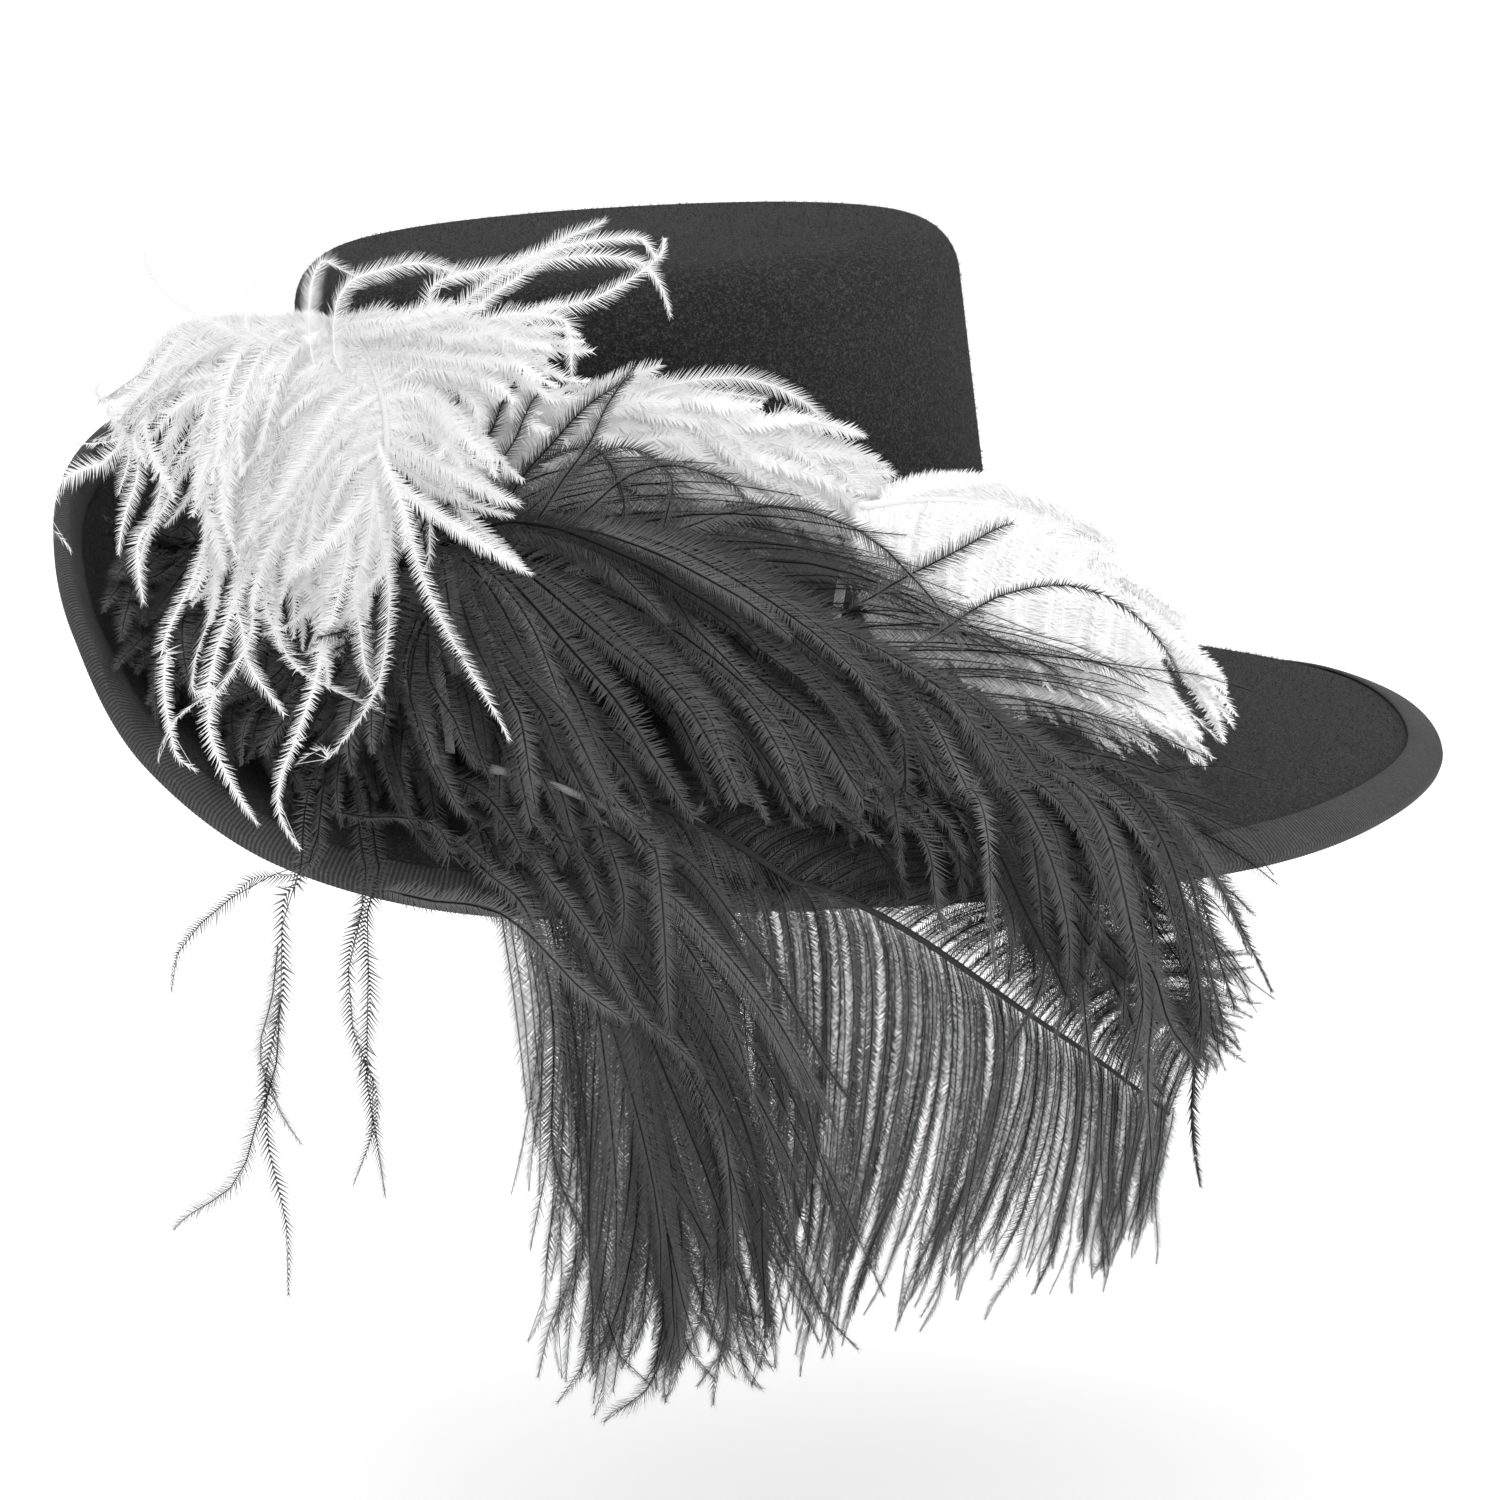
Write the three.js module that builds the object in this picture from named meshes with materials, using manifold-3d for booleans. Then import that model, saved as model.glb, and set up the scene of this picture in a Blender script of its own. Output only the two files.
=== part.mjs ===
// Cavalier hat: one blocked wool-felt body with a flat-topped crown and a wide brim that is cocked up
// at the front, a grosgrain ribbon folded over the brim's edge, and seven ostrich plumes sewn to the
// near side, three white and four black, whose barbs sweep round the crown and hang below the brim.
//
// Units are millimetres and degrees. +Z is up, the wearer's front is -X and the plumed side is -Y.
// The origin is the centre of the head opening, in the plane where crown and brim meet.
import * as THREE from "three";
import Module from "manifold-3d";

const wasm = await Module();
wasm.setup();

// Driving dimensions
const headLength = 198; // head opening, front to back
const headWidth = 163; // head opening, side to side
const feltThickness = 2.5;
const crownHeight = 130;
const crownTaper = 8.5; // how far the crown's wall leans in on its way up
const crownEdgeRadius = 15; // the rounded edge between wall and top
const crownDome = 3; // how far the top's middle stands above its edge
const junctionSize = 7; // how far the turn from wall to brim reaches along each of them
const brimWidth = 120; // lengths in brimSections, and out and reach below, are shares of this
const bindingWidth = 10; // ribbon on each face of the brim's edge
const bindingThickness = 0.9;
const quillRadius = 1.5; // at the sewn end
const quillTipRadius = 1;
const quillStand = 7; // how high a quill rises from the felt before it bends away
const lockThickness = 1.6; // of a plume's vane along the middle of a lock
const barbStepLength = 32; // the most between two sections of a barb
const layerSpacing = 3.4; // between the middles of plumes that lie on each other
const vaneSpacing = 0.6; // between the middles of a plume's two vanes
const clearance = 0.35; // between pieces that touch

// Shapes without a length
const ovalPower = 2.2; // 2 is an ellipse, more is squarer
const curlStart = 0.8; // share of the brim where its turned-down edge begins
const grooveThickness = 0.5; // of a vane between two locks, as a share of lockThickness
const grooveLength = 0.78; // of the barbs between two locks, as a share of the barbs in a lock
const baseThickness = 0.4; // of a vane inside the quill, as a share of its thickness beside it

// How finely the shapes are cut
const anglesRound = 48;
const quillSides = 5;
const quillSteps = 14;

// The brim, one row for each section round the crown. angle is 0 at the back, 90 on the far side, 180 at
// the front and 270 on the plumed side. out and up place the edge, bow is how far the section stands
// above its chord, and curl is how far its last part turns down, all as shares of brimWidth.
const brimSections = [
  { angle: 0, out: 1.02, up: -0.25, bow: 0.04, curl: 0.02 },
  { angle: 22, out: 1.05, up: -0.23, bow: 0.04, curl: 0.01 },
  { angle: 42, out: 1.05, up: -0.26, bow: 0.05, curl: 0 },
  { angle: 66, out: 1.0, up: -0.2, bow: 0.05, curl: 0 },
  { angle: 90, out: 0.92, up: -0.06, bow: 0.02, curl: 0 },
  { angle: 112, out: 0.74, up: 0.26, bow: -0.08, curl: 0 },
  { angle: 130, out: 0.55, up: 0.52, bow: -0.12, curl: 0 },
  { angle: 147, out: 0.43, up: 0.66, bow: -0.14, curl: 0 },
  { angle: 163, out: 0.41, up: 0.67, bow: -0.14, curl: 0 },
  { angle: 180, out: 0.46, up: 0.62, bow: -0.13, curl: 0 },
  { angle: 198, out: 0.55, up: 0.52, bow: -0.11, curl: 0 },
  { angle: 213, out: 0.69, up: 0.37, bow: -0.08, curl: 0.01 },
  { angle: 227, out: 0.85, up: 0.14, bow: -0.03, curl: 0.03 },
  { angle: 240, out: 0.93, up: -0.04, bow: 0.01, curl: 0.04 },
  { angle: 256, out: 0.955, up: -0.145, bow: 0.04, curl: 0.05 },
  { angle: 280, out: 0.97, up: -0.17, bow: 0.06, curl: 0.05 },
  { angle: 317, out: 1.01, up: -0.23, bow: 0.06, curl: 0.05 },
  { angle: 338, out: 0.985, up: -0.25, bow: 0.05, curl: 0.04 },
];

// The plumes lie in layers on a drape, a surface that runs down beside the crown, bridges to the brim,
// crosses it and hangs past its edge. A place on the drape is [angle, reach]: reach is -1 at the height
// of the crown's top, 0 at its foot and 1 at the brim's edge, and grows as far again below the edge.
// layer counts up from the felt, and loft says how roundly the layer bridges the corner at the foot.
// root is where the quill's end stands on the felt: its angle and its share out across the brim. spine
// is the rest of the quill, evenly spaced. In each vane, along is where on the spine a barb leaves it,
// middle is half way along the barb and tip is its end.
const plumes = [
  {
    name: "white_plume_side",
    colour: "white",
    layer: 1,
    loft: 0.42,
    root: { angle: 241, out: 0.08 },
    spine: [[239, -0.35], [255, -0.61], [271, -0.67], [286, -0.59], [300, -0.43], [311, -0.23]],
    vanes: [
      {
        locks: 7,
        barbs: [
          { along: 0.08, middle: [247, -0.66], tip: [255, -0.83] },
          { along: 0.35, middle: [271, -0.81], tip: [284, -0.84] },
          { along: 0.6, middle: [289, -0.74], tip: [302, -0.68] },
          { along: 0.8, middle: [304, -0.52], tip: [313, -0.4] },
          { along: 1, middle: [315, -0.23], tip: [319, -0.16] },
        ],
      },
      {
        locks: 7,
        barbs: [
          { along: 0.08, middle: [246, -0.38], tip: [250, -0.24] },
          { along: 0.35, middle: [266, -0.51], tip: [269, -0.25] },
          { along: 0.6, middle: [285, -0.43], tip: [289, -0.15] },
          { along: 0.8, middle: [301, -0.27], tip: [304, -0.05] },
          { along: 1, middle: [312, -0.13], tip: [312, 0.02] },
        ],
      },
    ],
  },
  {
    name: "white_plume_back",
    colour: "white",
    layer: 2,
    loft: 0.6,
    root: { angle: 292, out: 0.12 },
    spine: [[296, -0.25], [308, -0.24], [320, -0.23], [329, -0.06], [331, 0.22], [326, 0.5]],
    vanes: [
      {
        locks: 8,
        barbs: [
          { along: 0.06, middle: [298, 0.0], tip: [297, 0.3] },
          { along: 0.35, middle: [306, 0.12], tip: [300, 0.55] },
          { along: 0.6, middle: [314, 0.27], tip: [307, 0.68] },
          { along: 0.8, middle: [319, 0.45], tip: [312, 0.8] },
          { along: 1, middle: [321, 0.67], tip: [316, 0.86] },
        ],
      },
      {
        locks: 7,
        barbs: [
          { along: 0.2, middle: [311, -0.36], tip: [319, -0.42] },
          { along: 0.5, middle: [327, -0.28], tip: [336, -0.22] },
          { along: 0.8, middle: [336, 0.1], tip: [341, 0.28] },
          { along: 1, middle: [328, 0.62], tip: [327, 0.78] },
        ],
      },
    ],
  },
  {
    name: "white_plume_front",
    colour: "white",
    layer: 4,
    loft: 0.75,
    root: { angle: 236, out: 0.14 },
    spine: [[241, -0.2], [241, -0.46], [239, -0.62], [236, -0.71], [232, -0.7], [228, -0.61]],
    vanes: [
      {
        locks: 8,
        barbs: [
          { along: 0.1, middle: [235, 0.0], tip: [239, 0.7] },
          { along: 0.35, middle: [226, -0.2], tip: [232, 0.8] },
          { along: 0.6, middle: [218, -0.28], tip: [222, 0.68] },
          { along: 0.8, middle: [213, -0.36], tip: [212, 0.45] },
          { along: 1, middle: [216, -0.46], tip: [205, 0.0] },
        ],
      },
      {
        locks: 7,
        barbs: [
          { along: 0.1, middle: [248, 0.05], tip: [254, 0.62] },
          { along: 0.35, middle: [251, -0.36], tip: [262, -0.16] },
          { along: 0.6, middle: [250, -0.66], tip: [263, -0.52] },
          { along: 0.8, middle: [247, -0.84], tip: [261, -0.82] },
          { along: 1, middle: [222, -0.72], tip: [211, -0.62] },
        ],
      },
    ],
  },
  {
    name: "black_plume_brim",
    colour: "black",
    layer: 1,
    loft: 0.3,
    root: { angle: 232, out: 0.12 },
    spine: [[232, -0.2], [223, -0.28], [212, -0.26], [200, -0.16], [190, 0.08]],
    vanes: [
      {
        locks: 8,
        barbs: [
          { along: 0.08, middle: [231, 0.1], tip: [240, 0.62] },
          { along: 0.3, middle: [223, 0.12], tip: [234, 0.72] },
          { along: 0.55, middle: [211, 0.16], tip: [224, 0.74] },
          { along: 0.8, middle: [201, 0.24], tip: [212, 0.72] },
          { along: 1, middle: [193, 0.36], tip: [200, 0.68] },
        ],
      },
      {
        locks: 6,
        barbs: [
          { along: 0.2, middle: [220, -0.5], tip: [211, -0.6] },
          { along: 0.5, middle: [205, -0.42], tip: [194, -0.42] },
          { along: 0.8, middle: [189, -0.12], tip: [180, 0.2] },
          { along: 1, middle: [186, 0.3], tip: [183, 0.55] },
        ],
      },
    ],
  },
  {
    name: "black_plume_lower",
    colour: "black",
    layer: 1,
    loft: 0.3,
    root: { angle: 246, out: 0.22 },
    spine: [[249, 0.34], [261, 0.58], [272, 0.83], [280, 0.98], [287, 1.1], [295, 1.25], [301, 1.41], [306, 1.54]],
    vanes: [
      {
        locks: 9,
        barbs: [
          { along: 0.1, middle: [257, 0.89], tip: [262, 1.23] },
          { along: 0.3, middle: [271, 1.15], tip: [270, 1.75] },
          { along: 0.45, middle: [280, 1.43], tip: [275, 2.01] },
          { along: 0.6, middle: [288, 1.51], tip: [281, 1.99] },
          { along: 0.75, middle: [295, 1.59], tip: [290, 1.93] },
          { along: 0.88, middle: [301, 1.67], tip: [297, 1.91] },
          { along: 1, middle: [305, 1.69], tip: [304, 1.87] },
        ],
      },
      {
        locks: 7,
        barbs: [
          { along: 0.1, middle: [263, 0.47], tip: [272, 0.56] },
          { along: 0.3, middle: [275, 0.72], tip: [285, 0.84] },
          { along: 0.45, middle: [287, 0.93], tip: [296, 1.03] },
          { along: 0.6, middle: [295, 1.06], tip: [304, 1.17] },
          { along: 0.75, middle: [302, 1.21], tip: [311, 1.35] },
          { along: 0.88, middle: [306, 1.37], tip: [313, 1.49] },
          { along: 1, middle: [309, 1.6], tip: [311, 1.66] },
        ],
      },
    ],
  },
  {
    name: "black_plume_drop",
    colour: "black",
    layer: 2,
    loft: 0.4,
    root: { angle: 245, out: 0.55 },
    spine: [[251, 0.72], [256, 0.86], [262, 1.0], [266, 1.16], [268, 1.37], [268, 1.65], [268, 1.87]],
    vanes: [
      {
        locks: 8,
        barbs: [
          { along: 0.06, middle: [248, 0.83], tip: [243, 0.97] },
          { along: 0.2, middle: [255, 0.98], tip: [251, 1.08] },
          { along: 0.35, middle: [262, 1.25], tip: [260, 1.65] },
          { along: 0.55, middle: [263, 1.55], tip: [261, 1.95] },
          { along: 0.75, middle: [265, 1.82], tip: [263, 2.07] },
          { along: 1, middle: [267, 2.0], tip: [266, 2.12] },
        ],
      },
      {
        locks: 8,
        barbs: [
          { along: 0.15, middle: [262, 0.86], tip: [270, 1.0] },
          { along: 0.35, middle: [272, 1.25], tip: [275, 1.67] },
          { along: 0.55, middle: [273, 1.55], tip: [276, 2.0] },
          { along: 0.75, middle: [272, 1.83], tip: [274, 2.07] },
          { along: 1, middle: [270, 2.0], tip: [270.5, 2.12] },
        ],
      },
    ],
  },
  {
    name: "black_plume_upper",
    colour: "black",
    layer: 3,
    loft: 0.66,
    root: { angle: 242, out: 0.3 },
    spine: [[246, -0.15], [257, -0.1], [269, 0.09], [280, 0.43], [287, 0.77], [293, 1.03], [298, 1.22]],
    vanes: [
      {
        locks: 8,
        barbs: [
          { along: 0.06, middle: [261, -0.33], tip: [276, -0.3] },
          { along: 0.2, middle: [273, -0.3], tip: [293, 0.0] },
          { along: 0.35, middle: [284, -0.05], tip: [303, 0.4] },
          { along: 0.5, middle: [294, 0.31], tip: [310, 0.75] },
          { along: 0.7, middle: [302, 0.71], tip: [312, 1.13] },
          { along: 0.85, middle: [304, 1.05], tip: [313, 1.43] },
          { along: 1, middle: [303, 1.29], tip: [310, 1.57] },
        ],
      },
      {
        locks: 8,
        barbs: [
          { along: 0.06, middle: [250, 0.17], tip: [258, 0.75] },
          { along: 0.2, middle: [263, 0.25], tip: [274, 0.88] },
          { along: 0.35, middle: [273, 0.5], tip: [281, 1.08] },
          { along: 0.5, middle: [280, 0.81], tip: [286, 1.23] },
          { along: 0.7, middle: [286, 1.07], tip: [292, 1.4] },
          { along: 0.85, middle: [293, 1.21], tip: [298, 1.51] },
          { along: 1, middle: [300, 1.39], tip: [304, 1.6] },
        ],
      },
    ],
  },
];

const mix = (a, b, share) => a + (b - a) * share;
const radians = THREE.MathUtils.degToRad;
const signedPower = (value, power) => Math.sign(value) * Math.abs(value) ** power;

// The ovals: a is half the length and b half the width
const outerLength = headLength / 2 + feltThickness;
const outerWidth = headWidth / 2 + feltThickness;

function ovalPoint(angle, a, b) {
  const x = a * signedPower(Math.cos(radians(angle)), 2 / ovalPower);
  const y = b * signedPower(Math.sin(radians(angle)), 2 / ovalPower);
  return new THREE.Vector3(x, y, 0);
}

// The level direction square to the crown's foot
function outwardFrom(angle) {
  const foot = ovalPoint(angle, outerLength, outerWidth);
  const x = signedPower(foot.x / outerLength, ovalPower - 1) / outerLength;
  const y = signedPower(foot.y / outerWidth, ovalPower - 1) / outerWidth;
  return new THREE.Vector3(x, y, 0).normalize();
}

// A smooth curve through the columns of a table, read at any place between its first and last row
function smoothTable(places, rows) {
  const curve = new THREE.CubicInterpolant(places, rows.flat(), rows[0].length);
  return (place) => Array.from(curve.evaluate(place));
}

const turns = [-360, 0, 360];
const brimAt = smoothTable(
  turns.flatMap((turn) => brimSections.map((row) => row.angle + turn)),
  turns.flatMap(() => brimSections.map((row) => [row.out, row.up, row.bow, row.curl])),
);

// The brim's upper face: how far out from the crown's foot, and how high, at a share of the way across
function brimProfile(angle, share) {
  const [out, up, bow, curl] = brimAt(THREE.MathUtils.euclideanModulo(angle, 360)).map((size) => size * brimWidth);
  const rise = up + curl;
  const chord = Math.hypot(out, rise);
  const bendOut = out / 2 - (rise / chord) * 2 * bow;
  const bendUp = rise / 2 + (out / chord) * 2 * bow;
  const turned = Math.max((share - curlStart) / (1 - curlStart), 0);
  const here = 2 * share * (1 - share);
  return {
    out: here * bendOut + share * share * out,
    up: here * bendUp + share * share * rise - curl * turned * turned,
  };
}

function placeOut(angle, out, up) {
  const point = ovalPoint(angle, outerLength, outerWidth).addScaledVector(outwardFrom(angle), out);
  point.z = up;
  return point;
}

// A place lifted off the brim's upper face, or beyond its edge at the edge's own height
function brimPlace(angle, out, lift) {
  const profile = brimProfile(angle, Math.min(out, 1));
  return { out: profile.out + Math.max(out - 1, 0) * brimWidth, up: profile.up + lift * crownHeight };
}

// The share of the way across the brim that lies a distance back from its edge
function shareBack(angle, distance) {
  const step = 0.1;
  const edge = brimProfile(angle, 1);
  const before = brimProfile(angle, 1 - step);
  return 1 - (distance * step) / Math.hypot(edge.out - before.out, edge.up - before.up);
}

// The hat's outer face from the middle of the crown's top to the brim's edge, one point for each row
function outerRows(angle) {
  const rows = [];
  const insetAt = (height) => (crownTaper * height) / crownHeight;
  const edgeInset = insetAt(crownHeight - crownEdgeRadius);
  const topInset = edgeInset + crownEdgeRadius;
  const topShare = 0.6;
  const topPoint = ovalPoint(angle, (outerLength - topInset) * topShare, (outerWidth - topInset) * topShare);
  rows.push(topPoint.setZ(crownHeight + crownDome * (1 - topShare * topShare)));
  const edgeRows = 3;
  for (let row = 0; row <= edgeRows; row += 1) {
    const bend = (Math.PI / 2) * (1 - row / edgeRows);
    const inset = edgeInset + crownEdgeRadius * (1 - Math.cos(bend));
    const point = ovalPoint(angle, outerLength - inset, outerWidth - inset);
    rows.push(point.setZ(crownHeight - crownEdgeRadius + crownEdgeRadius * Math.sin(bend)));
  }
  const middle = crownHeight / 2;
  rows.push(ovalPoint(angle, outerLength - insetAt(middle), outerWidth - insetAt(middle)).setZ(middle));
  const turnShare = junctionSize / brimWidth;
  const turnEnd = brimProfile(angle, turnShare);
  for (const share of [0, 0.5]) {
    const out = share * share * turnEnd.out;
    const up = (1 - share) ** 2 * junctionSize + share * share * turnEnd.up;
    rows.push(placeOut(angle, out - insetAt(up), up));
  }
  const ribbonShare = shareBack(angle, bindingWidth);
  for (const share of [turnShare, 0.25, 0.5, 0.75, ribbonShare, mix(ribbonShare, 1, 0.5), 1]) {
    const profile = brimProfile(angle, share);
    rows.push(placeOut(angle, profile.out, profile.up));
  }
  return rows;
}

const angles = Array.from({ length: anglesRound }, (unused, index) => (360 * index) / anglesRound);
const outerGrid = angles.map(outerRows);

// Unit directions square to a grid of points that closes round on itself
function gridNormals(grid) {
  return grid.map((rows, column) =>
    rows.map((point, row) => {
      const before = grid[(column + grid.length - 1) % grid.length][row];
      const after = grid[(column + 1) % grid.length][row];
      const round = new THREE.Vector3().subVectors(after, before);
      const down = new THREE.Vector3().subVectors(rows[Math.min(row + 1, rows.length - 1)], rows[Math.max(row - 1, 0)]);
      return down.cross(round).normalize();
    }),
  );
}

const outerNormals = gridNormals(outerGrid);

function meshGeometry(points, triangles) {
  const geometry = new THREE.BufferGeometry();
  geometry.setAttribute("position", new THREE.Float32BufferAttribute(points.flatMap((point) => point.toArray()), 3));
  geometry.setIndex(triangles);
  return geometry;
}

// A closed felt wall: the outer face, and the same face again one felt thickness inside it
function feltBody() {
  const rowCount = outerGrid[0].length;
  const points = [];
  for (const depth of [0, feltThickness]) {
    outerGrid.forEach((rows, column) =>
      rows.forEach((point, row) => points.push(point.clone().addScaledVector(outerNormals[column][row], -depth))),
    );
  }
  const inner = anglesRound * rowCount;
  const outerPole = points.push(new THREE.Vector3(0, 0, crownHeight + crownDome)) - 1;
  const innerPole = points.push(new THREE.Vector3(0, 0, crownHeight + crownDome - feltThickness)) - 1;
  const triangles = [];
  for (let column = 0; column < anglesRound; column += 1) {
    const here = column * rowCount;
    const next = ((column + 1) % anglesRound) * rowCount;
    triangles.push(outerPole, here, next, innerPole, inner + next, inner + here);
    for (let row = 0; row < rowCount - 1; row += 1) {
      const [a, b, c, d] = [here + row, here + row + 1, next + row + 1, next + row];
      triangles.push(a, b, c, a, c, d);
      triangles.push(inner + a, inner + c, inner + b, inner + a, inner + d, inner + c);
    }
    const [edge, nextEdge] = [here + rowCount - 1, next + rowCount - 1];
    triangles.push(edge, inner + edge, inner + nextEdge, edge, inner + nextEdge, nextEdge);
  }
  return meshGeometry(points, triangles);
}

// The ribbon's section, folded over the brim's edge. row counts the outer face's rows back from the
// edge, beyond is how far the corner stands out past the edge, and rise is measured from the upper face
function bindingSection() {
  const inside = clearance;
  const outside = clearance + bindingThickness;
  const foldMiddle = -feltThickness / 2;
  const face = (rise) => [
    { row: 2, beyond: 0, rise },
    { row: 1, beyond: 0, rise },
  ];
  return [
    ...face(outside),
    { row: 0, beyond: outside / 2, rise: outside },
    { row: 0, beyond: outside, rise: foldMiddle },
    { row: 0, beyond: outside / 2, rise: -feltThickness - outside },
    ...face(-feltThickness - outside).reverse(),
    ...face(-feltThickness - inside),
    { row: 0, beyond: inside, rise: -feltThickness - inside },
    { row: 0, beyond: inside, rise: inside },
    ...face(inside).reverse(),
  ];
}

function brimBinding() {
  const section = bindingSection();
  const points = [];
  outerGrid.forEach((rows, column) => {
    const last = rows.length - 1;
    const outwards = rows[last].clone().sub(rows[last - 1]).normalize();
    section.forEach(({ row, beyond, rise }) => {
      const point = rows[last - row].clone().addScaledVector(outerNormals[column][last - row], rise);
      points.push(point.addScaledVector(outwards, beyond));
    });
  });
  const triangles = [];
  for (let column = 0; column < anglesRound; column += 1) {
    const here = column * section.length;
    const next = ((column + 1) % anglesRound) * section.length;
    for (let corner = 0; corner < section.length; corner += 1) {
      const after = (corner + 1) % section.length;
      const [a, b, c, d] = [here + corner, here + after, next + after, next + corner];
      // Each face is split the same way as the felt under it
      if (section[after].row > section[corner].row) triangles.push(a, b, d, b, c, d);
      else triangles.push(a, b, c, a, c, d);
    }
  }
  return meshGeometry(points, triangles);
}

// A rounded ramp: 0 well before zero, rising one for one well after it
const softRamp = (value, softness) => (value + Math.hypot(value, softness)) / 2;
const edgeReach = 1.14; // where the drape turns down, just past the brim's edge
const edgeSoftness = 0.16;
const drapeLift = 0.036; // of the drape above the brim
const cockedLoft = 0.5; // how much rounder the drape's corner is where the brim is turned up

function drapeProfile(angle, reach, loft) {
  const [, up] = brimAt(THREE.MathUtils.euclideanModulo(angle, 360));
  const softness = loft + cockedLoft * Math.max(up, 0);
  const past = softRamp(reach - edgeReach, edgeSoftness);
  return brimPlace(angle, softRamp(reach, softness) - past, softRamp(-reach, softness) - past + drapeLift);
}

// A point on the drape and the direction square to it, at a height above it
function drape([angle, reach], loft, height) {
  const step = 0.01;
  const here = drapeProfile(angle, reach, loft);
  const before = drapeProfile(angle, reach - step, loft);
  const after = drapeProfile(angle, reach + step, loft);
  const length = Math.hypot(after.out - before.out, after.up - before.up);
  const normalOut = -(after.up - before.up) / length;
  const normalUp = (after.out - before.out) / length;
  const point = placeOut(angle, here.out + height * normalOut, here.up + height * normalUp);
  const normal = outwardFrom(angle).multiplyScalar(normalOut).setZ(normalUp);
  return { point, normal };
}

function asSolid(geometry) {
  const vertProperties = new Float32Array(geometry.getAttribute("position").array);
  const triVerts = new Uint32Array(geometry.getIndex().array);
  return new wasm.Manifold(new wasm.Mesh({ numProp: 3, vertProperties, triVerts }));
}

function asGeometry(solid) {
  const mesh = solid.getMesh();
  const geometry = new THREE.BufferGeometry();
  geometry.setAttribute("position", new THREE.BufferAttribute(mesh.vertProperties, 3));
  geometry.setIndex(new THREE.BufferAttribute(mesh.triVerts, 1));
  return geometry;
}

// A tapering closed tube along a list of points
function quillTube(path) {
  const curve = new THREE.CatmullRomCurve3(path, false, "centripetal");
  const frames = curve.computeFrenetFrames(quillSteps);
  const points = [curve.getPointAt(0)];
  for (let step = 0; step <= quillSteps; step += 1) {
    const share = step / quillSteps;
    const radius = mix(quillRadius, quillTipRadius, share);
    for (let side = 0; side < quillSides; side += 1) {
      const turn = (2 * Math.PI * side) / quillSides;
      const spoke = frames.normals[step].clone().multiplyScalar(Math.cos(turn) * radius);
      spoke.addScaledVector(frames.binormals[step], Math.sin(turn) * radius);
      points.push(curve.getPointAt(share).add(spoke));
    }
  }
  const last = points.push(curve.getPointAt(1)) - 1;
  const triangles = [];
  const ringPoint = (step, side) => 1 + step * quillSides + (side % quillSides);
  for (let side = 0; side < quillSides; side += 1) {
    triangles.push(0, ringPoint(0, side + 1), ringPoint(0, side));
    triangles.push(last, ringPoint(quillSteps, side), ringPoint(quillSteps, side + 1));
    for (let step = 0; step < quillSteps; step += 1) {
      const [a, b] = [ringPoint(step, side), ringPoint(step, side + 1)];
      const [c, d] = [ringPoint(step + 1, side + 1), ringPoint(step + 1, side)];
      triangles.push(a, b, c, a, c, d);
    }
  }
  return meshGeometry(points, triangles);
}

// One side of a plume: a closed sheet of barbs that is thick along the middle of each lock, thin and
// short between two locks, and so has a pointed tip for each lock
function vaneSheet(plume, vane, spineAt, height) {
  const places = vane.barbs.map((row) => row.along);
  const barbAt = smoothTable(places, vane.barbs.map((row) => [...row.middle, ...row.tip]));
  const columns = 2 * vane.locks;
  const reaches = vane.barbs.map((row) => Math.abs(row.tip[1] - spineAt(row.along)[1]));
  const steps = Math.max(3, Math.ceil((Math.max(...reaches) * brimWidth) / barbStepLength));
  const top = [];
  const bottom = [];
  for (let column = 0; column <= columns; column += 1) {
    const along = mix(places[0], 1, column / columns);
    const [startAngle, startReach] = spineAt(along);
    const [middleAngle, middleReach, tipAngle, tipReach] = barbAt(along);
    const inLock = column % 2 === 1;
    const length = inLock ? 1 : grooveLength;
    const thickness = inLock ? lockThickness : lockThickness * grooveThickness;
    for (let step = 0; step <= steps; step += 1) {
      const share = (length * step) / steps;
      const curved = (start, middle, tip) =>
        start * (1 - share) * (1 - 2 * share) + middle * 4 * share * (1 - share) + tip * share * (2 * share - 1);
      const place = [curved(startAngle, middleAngle, tipAngle), curved(startReach, middleReach, tipReach)];
      const { point, normal } = drape(place, plume.loft, height);
      const half = (thickness / 2) * (step === 0 ? baseThickness : mix(1, grooveThickness, share));
      top.push(point.clone().addScaledVector(normal, half));
      bottom.push(point.clone().addScaledVector(normal, -half));
    }
  }
  const lower = top.length;
  const at = (column, step) => column * (steps + 1) + step;
  const triangles = [];
  for (let column = 0; column < columns; column += 1) {
    for (let step = 0; step < steps; step += 1) {
      const [a, b] = [at(column, step), at(column, step + 1)];
      const [c, d] = [at(column + 1, step + 1), at(column + 1, step)];
      triangles.push(a, b, c, a, c, d);
      triangles.push(lower + a, lower + c, lower + b, lower + a, lower + d, lower + c);
    }
  }
  const wall = (a, b) => triangles.push(a, lower + a, lower + b, a, lower + b, b);
  for (let column = 0; column < columns; column += 1) {
    wall(at(column, steps), at(column + 1, steps));
    wall(at(column + 1, 0), at(column, 0));
  }
  for (let step = 0; step < steps; step += 1) {
    wall(at(0, step), at(0, step + 1));
    wall(at(columns, step + 1), at(columns, step));
  }
  return facingOut(meshGeometry([...top, ...bottom], triangles));
}

// Turns a closed mesh right side out where its triangles enclose a negative volume
function facingOut(geometry) {
  const position = geometry.getAttribute("position");
  const index = geometry.getIndex().array;
  const corner = (place) => new THREE.Vector3().fromBufferAttribute(position, index[place]);
  let volume = 0;
  for (let place = 0; place < index.length; place += 3) {
    volume += corner(place).dot(corner(place + 1).cross(corner(place + 2)));
  }
  if (volume < 0) index.reverse();
  return geometry;
}

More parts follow.
